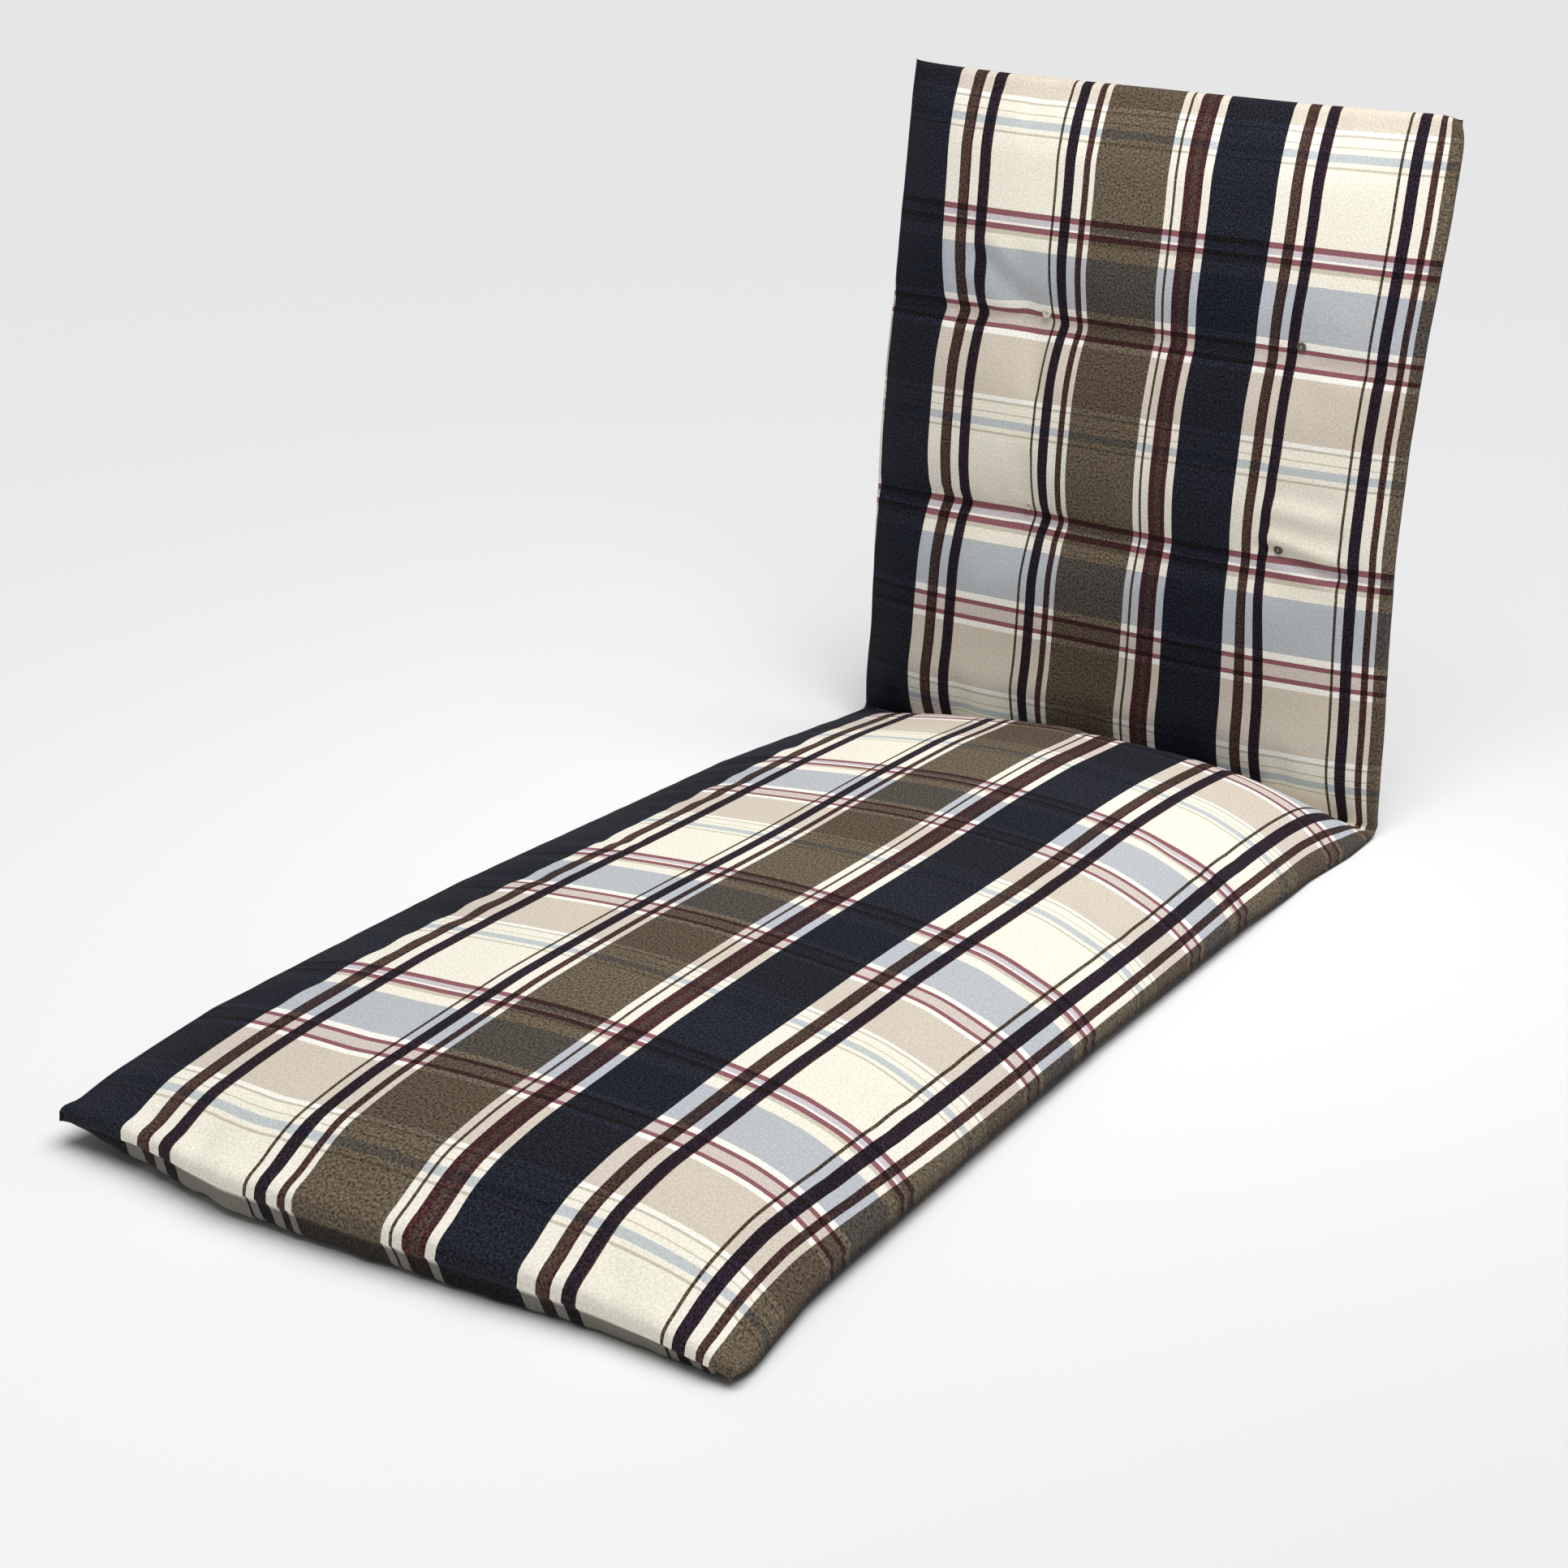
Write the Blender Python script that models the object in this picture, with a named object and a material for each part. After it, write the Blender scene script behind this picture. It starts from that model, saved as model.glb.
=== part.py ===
"""Sun lounger cushion: one filled cushion, sewn across at its fold, with a long seat and an upright back.

The seat lies on the floor with its foot end towards -Y. The back stands at the +Y end and leans a
little. A seam runs round the whole edge where the upper and the under cloth meet, the sides draw in
between the corners, and four small buttons pull two rows of hollows into the back.

Units are metres and +Z is up. The origin is under the middle of the cushion, on the floor.
"""

from typing import NamedTuple

import bmesh
import bpy
import numpy as np
from mathutils import Vector
from mathutils.bvhtree import BVHTree

# Driving dimensions
HALF_WIDTH = 0.300
SEAT_LENGTH = 1.180
BACK_LENGTH = 0.690
FOLD_HEIGHT = 0.028
FOLD_WEB = 0.0030
FOLD_WEB_REACH = 0.012
SIDE_DRAW_IN = 0.012
END_DRAW_IN = 0.008
DRAW_IN_POWER = 6

# Fill above and below the seam, and how soon it reaches its full height from an edge
SEAT_CROWN = 0.055
SEAT_UNDER = 0.062
SEAT_FRONT_ROUND = 0.150
SEAT_UNDER_ROUND = 0.085
BACK_CROWN = 0.028
BACK_REAR = 0.030
BACK_TOP_ROUND = 0.095
BACK_REAR_ROUND = 0.075
BACK_FOLD_SWELL = 0.045
FOLD_ROUND = 1.8
EDGE_ROUND = 1.7
END_POWER = 2.2

# The back's lean from upright, in radians, the height where it is reached, and its twist
BACK_LEAN = 0.095
LEAN_REACH = 0.110
BACK_TWIST = 0.017

# Tufted rows of the back
FURROW_DEPTH = 0.0055
FURROW_WIDTH = 0.020
DIMPLE_DEPTH = 0.0085
DIMPLE_WIDTH = 0.024
BUTTON_RADIUS = 0.0048
BUTTON_HEIGHT = 0.0034
BUTTON_RINGS = 4
BUTTON_SIDES = 14
TOUCH_GAP = 0.0003

# Mesh steps
COLUMNS = 24
COLUMN_EDGE_SHARE = 0.42
FIRST_STEP = 0.008
STEP_GROWTH = 1.38
SEAT_WIDEST_STEP = 0.042
BACK_WIDEST_STEP = 0.027


class Fullness(NamedTuple):
    """How fast the fill falls away towards the left and the right seam."""

    left: float
    right: float


SEAT_FULLNESS = Fullness(left=1.10, right=3.00)
UNDER_FULLNESS = Fullness(left=5.00, right=5.00)
BACK_FULLNESS = Fullness(left=3.00, right=2.60)


class SeamHeight(NamedTuple):
    """Height of the seat's side seams above the floor, at a share of the way from fold to foot."""

    share: float
    left: float
    right: float


SEAT_SEAM_HEIGHTS = (
    SeamHeight(share=0.00, left=0.028, right=0.028),
    SeamHeight(share=0.17, left=0.045, right=0.025),
    SeamHeight(share=0.75, left=0.045, right=0.025),
    SeamHeight(share=1.00, left=0.021, right=0.018),
)


class EdgeWave(NamedTuple):
    """A soft lift or dip of the foot seam, placed across the width from -1 to 1."""

    across: float
    width: float
    lift: float


FOOT_WAVES = (
    EdgeWave(across=-0.62, width=0.24, lift=-0.009),
    EdgeWave(across=0.45, width=0.34, lift=0.013),
)


class Swell(NamedTuple):
    """A soft swelling or hollow of the seat's upper face."""

    across: float
    along: float
    radius: float
    rise: float


SEAT_SWELLS = (
    Swell(across=0.42, along=0.30, radius=0.13, rise=0.004),
    Swell(across=-0.10, along=0.42, radius=0.10, rise=-0.004),
    Swell(across=0.30, along=0.62, radius=0.12, rise=-0.003),
    Swell(across=-0.35, along=0.74, radius=0.14, rise=0.003),
)


class Tuft(NamedTuple):
    """A button's place on the back: name, across the width from -1 to 1, and height above the fold."""

    name: str
    across: float
    height: float


TUFT_ROWS = (0.247, 0.447)
TUFTS = (
    Tuft("tuft_button_left_lower", -0.395, TUFT_ROWS[0]),
    Tuft("tuft_button_left_upper", -0.395, TUFT_ROWS[1]),
    Tuft("tuft_button_right_lower", 0.590, TUFT_ROWS[0]),
    Tuft("tuft_button_right_upper", 0.590, TUFT_ROWS[1]),
)


class Finish(NamedTuple):
    """Plain colour and surface of one piece."""

    name: str
    colour: tuple
    roughness: float


CLOTH = Finish("check_cloth", (0.36, 0.32, 0.29, 1.0), 0.9)
BUTTON = Finish("button", (0.80, 0.74, 0.58, 1.0), 0.5)


def clear_scene():
    """Remove every object that is in the scene."""
    for item in list(bpy.data.objects):
        bpy.data.objects.remove(item, do_unlink=True)


def make_material(finish):
    """Make the plain material of one finish."""
    material = bpy.data.materials.new(finish.name)
    material.use_nodes = True
    shader = material.node_tree.nodes["Principled BSDF"]
    shader.inputs["Base Color"].default_value = finish.colour
    shader.inputs["Roughness"].default_value = finish.roughness
    shader.inputs["Metallic"].default_value = 0.0
    return material


def smooth_step(value):
    """Ease from 0 to 1."""
    held = min(max(value, 0.0), 1.0)
    return held * held * (3.0 - 2.0 * held)


def bell(distance, width):
    """A soft bump, 1 in its middle."""
    return float(np.exp(-0.5 * (distance / width) ** 2))


def spot(u, along, spot_u, spot_along, radius):
    """A soft round bump at one place of a section."""
    return bell(np.hypot((u - spot_u) * HALF_WIDTH, along - spot_along), radius)


def fill_across(u, fullness):
    """Share of the full height at u, which runs from -1 at the left seam to 1 at the right one."""
    power = fullness.left if u < 0.0 else fullness.right
    return max(0.0, 1.0 - abs(u) ** power) ** (1.0 / EDGE_ROUND)


def fill_from_end(distance, reach):
    """Share of the full height at a distance from an end seam."""
    held = min(max(distance / reach, 0.0), 1.0)
    return (1.0 - (1.0 - held) ** END_POWER) ** (1.0 / EDGE_ROUND)


def fill_from_fold(distance, height):
    """Share of the full height at a distance from the fold, where the two faces press together."""
    reach = FOLD_ROUND * height
    held = min(max(distance / reach, 0.0), 1.0)
    return 1.0 - (1.0 - held) ** FOLD_ROUND


def half_width(share):
    """Half of the width at a share of a section's length: widest at the corners."""
    return HALF_WIDTH - SIDE_DRAW_IN * (1.0 - abs(2.0 * share - 1.0) ** DRAW_IN_POWER)


def end_draw(u, share):
    """How far the end seam draws in between its corners, fading towards the middle of the section."""
    return END_DRAW_IN * (1.0 - u ** 4) * smooth_step((share - 0.7) / 0.3)


def seat_seam_height(u, share):
    """Height of the seam plane of the seat above the floor."""
    shares = [row.share for row in SEAT_SEAM_HEIGHTS]
    left = np.interp(share, shares, [row.left for row in SEAT_SEAM_HEIGHTS])
    right = np.interp(share, shares, [row.right for row in SEAT_SEAM_HEIGHTS])
    level = left + (right - left) * (u + 1.0) / 2.0
    near_foot = smooth_step((share - 0.8) / 0.2)
    waves = sum(wave.lift * bell(u - wave.across, wave.width) for wave in FOOT_WAVES)
    return level + waves * near_foot * (1.0 - u ** 4)


def web_height(u):
    """Half thickness of the sewn fold, closing to nothing at its two ends."""
    return FOLD_WEB * (1.0 - u ** 8)


def web_near_fold(u, from_fold):
    """Half thickness of the web, fading a little way from the fold."""
    return web_height(u) * bell(from_fold, FOLD_WEB_REACH)


def seat_point(u, along, upper):
    """A point of the seat's upper or under face, along metres from the fold."""
    share = along / SEAT_LENGTH
    seam = seat_seam_height(u, share)
    from_fold = along - FOLD_WEB
    to_end = SEAT_LENGTH - along
    web = web_near_fold(u, from_fold)
    x = half_width(share) * u
    y = -(along - end_draw(u, share))
    if upper:
        full = fill_across(u, SEAT_FULLNESS) * fill_from_fold(from_fold, SEAT_CROWN)
        full *= fill_from_end(to_end, SEAT_FRONT_ROUND)
        swells = sum(
            swell.rise * spot(u, along, swell.across, swell.along * SEAT_LENGTH, swell.radius)
            for swell in SEAT_SWELLS
        )
        return (x, y, seam + web + (SEAT_CROWN + swells) * full)
    full = fill_across(u, UNDER_FULLNESS) * fill_from_fold(from_fold, SEAT_UNDER)
    full *= fill_from_end(to_end, SEAT_UNDER_ROUND)
    return (x, y + 2.0 * web, max(0.0, seam - web - SEAT_UNDER * full))


def tuft_pull(u, height):
    """How deep the tufted rows pull the back's faces in."""
    rows = sum(bell(height - row, FURROW_WIDTH) for row in TUFT_ROWS)
    dimples = sum(spot(u, height, tuft.across, tuft.height, DIMPLE_WIDTH) for tuft in TUFTS)
    return FURROW_DEPTH * rows + DIMPLE_DEPTH * dimples


def back_point(u, height, front):
    """A point of the back's front or rear face, height metres up from the fold."""
    share = height / BACK_LENGTH
    from_fold = height - FOLD_WEB
    to_end = BACK_LENGTH - height
    web = web_near_fold(u, from_fold)
    up = height - end_draw(u, share)
    lean_share = smooth_step(height / LEAN_REACH)
    sine, cosine = np.sin(BACK_LEAN), np.cos(BACK_LEAN)
    middle_y = up * sine * lean_share
    middle_z = FOLD_HEIGHT + up * (1.0 + (cosine - 1.0) * lean_share)
    full = fill_across(u, BACK_FULLNESS)
    if front:
        full *= fill_from_fold(from_fold, BACK_FOLD_SWELL) * fill_from_end(to_end, BACK_TOP_ROUND)
        depth = web + (BACK_CROWN - tuft_pull(u, height)) * full
        drop = 0.0
    else:
        full *= fill_from_fold(from_fold, BACK_REAR) * fill_from_end(to_end, BACK_REAR_ROUND)
        depth = -web - (BACK_REAR - tuft_pull(u, height)) * full
        drop = 2.0 * web
    depth += BACK_TWIST * u * HALF_WIDTH * share
    x = half_width(share) * u
    return (x, middle_y - depth * cosine, middle_z + depth * sine * lean_share - drop)


def fold_point(u, inner):
    """A point of the sewn fold: the crease inside the bend, or the groove outside it."""
    web = web_height(u)
    sign = 1.0 if inner else -1.0
    return (HALF_WIDTH * u, -sign * web, FOLD_HEIGHT + sign * web)


def column_places():
    """Places across the width from -1 to 1, closer together near the seams and through each tuft."""
    even = np.linspace(-1.0, 1.0, COLUMNS + 1)
    places = (1.0 - COLUMN_EDGE_SHARE) * even + COLUMN_EDGE_SHARE * np.sin(even * np.pi / 2.0)
    for across in sorted({tuft.across for tuft in TUFTS}):
        places[np.argmin(abs(places - across))] = across
    return [float(place) for place in places]


def graded_places(length, widest, through=()):
    """Places along a section, starting fine at both ends, with a place at each length in through."""
    steps = []
    step = FIRST_STEP
    while step < widest:
        steps.append(step)
        step *= STEP_GROWTH
    near = np.cumsum(steps)
    start, stop = float(near[-1]), float(length - near[-1])
    middle = np.linspace(start, stop, int(np.ceil((stop - start) / widest)) + 1)
    places = np.concatenate([near[:-1], middle, (length - near[:-1])[::-1]])
    for place in through:
        places[np.argmin(abs(places - place))] = place
    return [float(place) for place in places]


def cushion_rows():
    """Rows of upper and under points from the foot seam over the fold to the top seam."""
    columns = column_places()
    seat = graded_places(SEAT_LENGTH, SEAT_WIDEST_STEP)
    back = graded_places(BACK_LENGTH, BACK_WIDEST_STEP, TUFT_ROWS)
    upper = [[seat_point(u, SEAT_LENGTH, True) for u in columns]]
    under = [None]
    for along in reversed(seat):
        upper.append([seat_point(u, along, True) for u in columns])
        under.append([seat_point(u, along, False) for u in columns])
    upper.append([fold_point(u, True) for u in columns])
    under.append([fold_point(u, False) for u in columns])
    for height in back:
        upper.append([back_point(u, height, True) for u in columns])
        under.append([back_point(u, height, False) for u in columns])
    upper.append([back_point(u, BACK_LENGTH, True) for u in columns])
    under.append(None)
    return upper, under


def cushion_bmesh():
    """Sew the upper and the under rows together round the edge into one closed body."""
    upper_rows, under_rows = cushion_rows()
    shape = bmesh.new()
    upper = [[shape.verts.new(point) for point in row] for row in upper_rows]
    under = []
    for row, shared in zip(under_rows, upper):
        if row is None:
            under.append(shared)
            continue
        inner = [shape.verts.new(point) for point in row[1:-1]]
        under.append([shared[0], *inner, shared[-1]])
    for grid, turned in ((upper, False), (under, True)):
        for low, high in zip(grid, grid[1:]):
            for i in range(len(low) - 1):
                corners = [low[i], low[i + 1], high[i + 1], high[i]]
                shape.faces.new(corners[::-1] if turned else corners)
    bmesh.ops.triangulate(shape, faces=shape.faces[:], quad_method="FIXED")
    bmesh.ops.recalc_face_normals(shape, faces=shape.faces[:])
    return shape


def floor_centre(shape):
    """The point on the floor under the middle of the cushion's box."""
    points = np.array([vert.co for vert in shape.verts])
    middle = (points.min(axis=0) + points.max(axis=0)) / 2.0
    return Vector((middle[0], middle[1], 0.0))


def add_object(name, shape, material):
    """Turn a bmesh into a named object with its material, shaded smooth."""
    mesh = bpy.data.meshes.new(name)
    shape.to_mesh(mesh)
    shape.free()
    mesh.materials.append(material)
    mesh.shade_smooth()
    item = bpy.data.objects.new(name, mesh)
    bpy.context.scene.collection.objects.link(item)
    return item


def back_outward():
    """Direction that the back's front face looks in."""
    return Vector((0.0, -np.cos(BACK_LEAN), np.sin(BACK_LEAN)))


def button_bmesh(rotation, foot):
    """A lens-shaped button with its middle axis turned by rotation and its underside at foot."""
    shape = bmesh.new()
    bmesh.ops.create_uvsphere(
        shape, u_segments=BUTTON_SIDES, v_segments=2 * BUTTON_RINGS, radius=BUTTON_RADIUS
    )
    for vert in shape.verts:
        flat = vert.co.z * BUTTON_HEIGHT / (2.0 * BUTTON_RADIUS) + BUTTON_HEIGHT / 2.0
        vert.co = rotation @ Vector((vert.co.x, vert.co.y, flat)) + foot
    return shape


def seat_lift(shape, surface, outward):
    """How far the button has to move outward to clear the cloth by the touching gap."""
    above = outward * 4.0 * BUTTON_RADIUS
    depths = []
    for vert in shape.verts:
        hit = surface.ray_cast(vert.co + above, -outward)
        depths.append((hit[0] - vert.co).dot(outward))
    return max(depths) + TOUCH_GAP


def add_button(tuft, surface, centre, material):
    """Seat one button in its hollow."""
    outward = back_outward()
    place = Vector(back_point(tuft.across, tuft.height, True)) - centre
    rotation = outward.to_track_quat("Z", "X").to_matrix()
    shape = button_bmesh(rotation, place)
    lift = seat_lift(shape, surface, outward)
    bmesh.ops.translate(shape, verts=shape.verts[:], vec=outward * lift)
    return add_object(tuft.name, shape, material)


def main():
    """Build the cushion and its buttons."""
    clear_scene()
    cloth = make_material(CLOTH)
    button = make_material(BUTTON)
    shape = cushion_bmesh()
    centre = floor_centre(shape)
    bmesh.ops.translate(shape, verts=shape.verts[:], vec=-centre)
    surface = BVHTree.FromBMesh(shape)
    add_object("cushion", shape, cloth)
    for tuft in TUFTS:
        add_button(tuft, surface, centre, button)


main()
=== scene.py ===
"""Looks of the sun lounger cushion: the filled cushion in its checked cloth, its stitches and its buttons.

Every size is in metres. The cushion is shaped with its fold at y = 0 and the floor at z = 0, and is
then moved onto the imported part.
"""

import logging
import math
from dataclasses import dataclass, field
from enum import Enum
from typing import Any, Callable, NamedTuple, Optional, Sequence

import bmesh
import bpy
import numpy as np
from mathutils import Euler, Matrix, Vector
from mathutils.bvhtree import BVHTree


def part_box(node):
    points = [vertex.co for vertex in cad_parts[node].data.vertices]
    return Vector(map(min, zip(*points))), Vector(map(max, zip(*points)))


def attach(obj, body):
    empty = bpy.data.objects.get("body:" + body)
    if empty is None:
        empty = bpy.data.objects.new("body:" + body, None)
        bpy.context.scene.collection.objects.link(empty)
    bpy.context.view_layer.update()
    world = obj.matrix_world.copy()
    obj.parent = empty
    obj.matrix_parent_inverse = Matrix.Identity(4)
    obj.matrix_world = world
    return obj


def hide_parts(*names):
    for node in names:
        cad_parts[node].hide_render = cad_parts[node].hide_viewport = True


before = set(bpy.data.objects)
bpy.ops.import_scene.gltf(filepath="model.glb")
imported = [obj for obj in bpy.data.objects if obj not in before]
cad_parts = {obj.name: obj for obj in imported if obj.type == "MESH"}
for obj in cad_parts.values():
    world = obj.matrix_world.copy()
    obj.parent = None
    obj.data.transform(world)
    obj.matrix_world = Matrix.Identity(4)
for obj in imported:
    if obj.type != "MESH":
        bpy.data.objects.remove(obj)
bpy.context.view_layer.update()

LOG = logging.getLogger("lounger_cushion")
BODY = "root"
CUSHION_NODE = "cushion"
THREAD = "thread"
SEWING = "sewing"
MILLIMETRE = 0.001
FOLD_LINE = 0.5453
SPREAD_SAMPLES = 4001
RIPPLE_WAVES = ((0.625, 1.0, 1.0), (0.4375, 1.63, 2.1), (0.375, 0.57, 0.7))


def bell(distance: Any, width: float) -> Any:
    """A soft bump, 1 in its middle."""
    return np.exp(-0.5 * (np.asarray(distance) / width) ** 2)


def smooth_step(value: Any) -> Any:
    """Ease from 0 to 1."""
    held = np.clip(value, 0.0, 1.0)
    return held * held * (3.0 - 2.0 * held)


def linear_colour(code: str) -> tuple[float, float, float, float]:
    """Turn a colour code such as #efe9d6 into linear values.

    Args:
        code: The colour as a hash and six hexadecimal digits.

    Returns:
        Red, green, blue and an alpha of 1.
    """
    parts = [int(code[place:place + 2], 16) / 255.0 for place in (1, 3, 5)]
    values = [part / 12.92 if part <= 0.04045 else ((part + 0.055) / 1.055) ** 2.4 for part in parts]
    return (values[0], values[1], values[2], 1.0)


class Value:
    """A number socket that joins in plain sums, each of which adds its Math node."""

    def __init__(self, bench: "NodeBench", socket: bpy.types.NodeSocket) -> None:
        """Keep the bench that makes new nodes, and the socket."""
        self.bench = bench
        self.socket = socket

    def _sum(self, operation: str, first: Any, second: Any = None) -> "Value":
        """Add one Math node and return its result."""
        inputs = {0: first} if second is None else {0: first, 1: second}
        return Value(self.bench, self.bench.node("ShaderNodeMath", {"operation": operation}, inputs).outputs[0])

    def __add__(self, other: Any) -> "Value":
        """Add."""
        return self._sum("ADD", self, other)

    def __radd__(self, other: Any) -> "Value":
        """Add, with the number first."""
        return self._sum("ADD", other, self)

    def __sub__(self, other: Any) -> "Value":
        """Subtract."""
        return self._sum("SUBTRACT", self, other)

    def __rsub__(self, other: Any) -> "Value":
        """Subtract from a number."""
        return self._sum("SUBTRACT", other, self)

    def __mul__(self, other: Any) -> "Value":
        """Multiply."""
        return self._sum("MULTIPLY", self, other)

    def __rmul__(self, other: Any) -> "Value":
        """Multiply, with the number first."""
        return self._sum("MULTIPLY", other, self)

    def __truediv__(self, other: Any) -> "Value":
        """Divide."""
        return self._sum("DIVIDE", self, other)

    def fraction(self) -> "Value":
        """The part after the point."""
        return self._sum("FRACT", self)

    def sine(self) -> "Value":
        """The sine."""
        return self._sum("SINE", self)

    def at_least(self, floor: float) -> "Value":
        """The value, but never below a floor."""
        return self._sum("MAXIMUM", self, floor)


class NodeBench:
    """Makes the nodes of one tree."""

    def __init__(self, tree: bpy.types.NodeTree) -> None:
        """Keep the tree."""
        self.tree = tree

    def node(self, kind: str, settings: Optional[dict] = None, inputs: Optional[dict] = None) -> bpy.types.Node:
        """Add one node.

        Args:
            kind: The node's type.
            settings: Its own settings; "stops" fills a colour ramp with (place, colour) pairs.
            inputs: The values or links of its sockets, by name or number.

        Returns:
            The new node.
        """
        made = self.tree.nodes.new(kind)
        for name, value in (settings or {}).items():
            if name == "stops":
                self._fill_ramp(made.color_ramp, value)
            else:
                setattr(made, name, value)
        self.fill(made, inputs or {})
        return made

    def fill(self, node: bpy.types.Node, inputs: dict) -> None:
        """Give a node's sockets their links or plain values.

        Args:
            node: The node.
            inputs: The values or links of its sockets, by name or number.
        """
        for key, value in inputs.items():
            given = value.socket if isinstance(value, Value) else value
            if isinstance(given, bpy.types.NodeSocket):
                self.tree.links.new(given, node.inputs[key])
            else:
                node.inputs[key].default_value = given

    def mixed(self, mode: str, factor: Any, first: Any, second: Any) -> bpy.types.NodeSocket:
        """Mix two colours by a factor, which is the share of the second one."""
        settings = {"data_type": "RGBA", "blend_type": mode}
        return self.node("ShaderNodeMix", settings, {0: factor, 6: first, 7: second}).outputs[2]

    def noise(self, place: Any, scale: float, detail: float, roughness: float = 0.5) -> Value:
        """Even noise at a place."""
        inputs = {"Vector": place, "Scale": scale, "Detail": detail, "Roughness": roughness}
        return Value(self, self.node("ShaderNodeTexNoise", None, inputs).outputs[0])

    def grey(self, value: Value) -> bpy.types.NodeSocket:
        """A grey colour of the given strength."""
        return self.node("ShaderNodeCombineColor", None, {0: value, 1: value, 2: value}).outputs[0]

    @staticmethod
    def _fill_ramp(ramp: bpy.types.ColorRamp, stops: Sequence[tuple]) -> None:
        """Set a ramp's stops, each with a hard edge.

        Args:
            ramp: The ramp.
            stops: Pairs of a place and a colour.
        """
        ramp.interpolation = "CONSTANT"
        while len(ramp.elements) < len(stops):
            ramp.elements.new(1.0)
        for element, (place, colour) in zip(ramp.elements, stops):
            element.position = place
            element.color = colour


def new_finish(name: str) -> tuple[bpy.types.Material, NodeBench, bpy.types.Node]:
    """Start a material.

    Args:
        name: The material's name.

    Returns:
        The material, the bench that makes its nodes, and its shader.
    """
    material = bpy.data.materials.new(name)
    material.use_nodes = True
    bench = NodeBench(material.node_tree)
    return material, bench, bench.tree.nodes["Principled BSDF"]


def mesh_of(name: str, shape: bmesh.types.BMesh) -> bpy.types.Mesh:
    """Turn a shape into a mesh and free it.

    Args:
        name: The mesh's name.
        shape: The shape.

    Returns:
        The mesh.
    """
    mesh = bpy.data.meshes.new(name)
    shape.to_mesh(mesh)
    shape.free()
    return mesh


def placed(name: str, data: Any) -> bpy.types.Object:
    """Add an object to the scene.

    Args:
        name: The object's name.
        data: Its mesh, light or camera.

    Returns:
        The object.
    """
    item = bpy.data.objects.new(name, data)
    bpy.context.scene.collection.objects.link(item)
    return item


def plain_mesh(item: bpy.types.Object) -> bpy.types.Mesh:
    """Make a plain mesh of an object with its modifiers applied.

    Args:
        item: The object.

    Returns:
        The plain mesh.
    """
    layers = bpy.context.evaluated_depsgraph_get()
    layers.update()
    return bpy.data.meshes.new_from_object(item.evaluated_get(layers), preserve_all_data_layers=True, depsgraph=layers)


def vectors_of(holder: Any, name: str) -> np.ndarray:
    """Read the three-part values of a mesh's points or attribute.

    Args:
        holder: The points or the attribute's data.
        name: What is read.

    Returns:
        One row for each point.
    """
    values = np.empty(len(holder) * 3)
    holder.foreach_get(name, values)
    return values.reshape(-1, 3)


def points_of(mesh: bpy.types.Mesh) -> np.ndarray:
    """Places of a mesh's points."""
    return vectors_of(mesh.vertices, "co")


def normals_of(mesh: bpy.types.Mesh) -> np.ndarray:
    """Directions that a mesh's points face in."""
    return vectors_of(mesh.vertices, "normal")


def marks_of(mesh: bpy.types.Mesh, name: str) -> np.ndarray:
    """Values of a mesh's own attribute."""
    return vectors_of(mesh.attributes[name].data, "vector")


def surface_of(item: bpy.types.Object) -> BVHTree:
    """The surface of a piece, for seating others on it."""
    points = [tuple(point) for point in points_of(item.data)]
    return BVHTree.FromPolygons(points, [tuple(face.vertices) for face in item.data.polygons])


class WarpYarn(Enum):
    """Colours of the threads that run the length of the cushion, as they look over cream."""

    WHITE = "#fefdfc"
    CREAM = "#fefdf9"
    BROWN = "#503e38"
    WINE = "#4d2a30"
    WINE_BROWN = "#4f3634"
    DARK = "#281b2b"
    THIN = "#574b3c"
    OLIVE = "#6b6054"
    NAVY = "#1c1f2f"


class WeftYarn(Enum):
    """Colours of the threads that run across the cushion."""

    CREAM = "#f4f0e3"
    WHITE = "#faf8f2"
    BURGUNDY = "#8f5c64"
    LILAC = "#cdc6cc"
    GREY_BEIGE = "#cfc8ba"
    BLUE = "#bbc0c7"
    PINK_BEIGE = "#d3c8c1"
    BEIGE = "#d5cbbe"
    FINE = "#cbc5b4"
    BLUE_GREY = "#c3c9cd"


class Stripe(NamedTuple):
    """One stripe of the check: its yarn and its width in millimetres."""

    yarn: Enum
    width: float


WARP_REPEAT = (
    Stripe(WarpYarn.WHITE, 15.0),
    Stripe(WarpYarn.BROWN, 11.0),
    Stripe(WarpYarn.WINE, 2.0),
    Stripe(WarpYarn.WHITE, 10.5),
    Stripe(WarpYarn.DARK, 12.0),
    Stripe(WarpYarn.WINE, 2.5),
    Stripe(WarpYarn.CREAM, 76.0),
    Stripe(WarpYarn.THIN, 2.4),
    Stripe(WarpYarn.WHITE, 7.8),
    Stripe(WarpYarn.DARK, 12.3),
    Stripe(WarpYarn.WHITE, 9.3),
    Stripe(WarpYarn.WINE_BROWN, 7.7),
    Stripe(WarpYarn.WHITE, 5.5),
    Stripe(WarpYarn.OLIVE, 82.0),
    Stripe(WarpYarn.WHITE, 7.2),
    Stripe(WarpYarn.THIN, 2.4),
    Stripe(WarpYarn.WHITE, 8.8),
    Stripe(WarpYarn.WINE, 7.2),
    Stripe(WarpYarn.BROWN, 7.2),
    Stripe(WarpYarn.WINE, 7.2),
    Stripe(WarpYarn.WHITE, 8.0),
    Stripe(WarpYarn.NAVY, 73.0),
)
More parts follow.
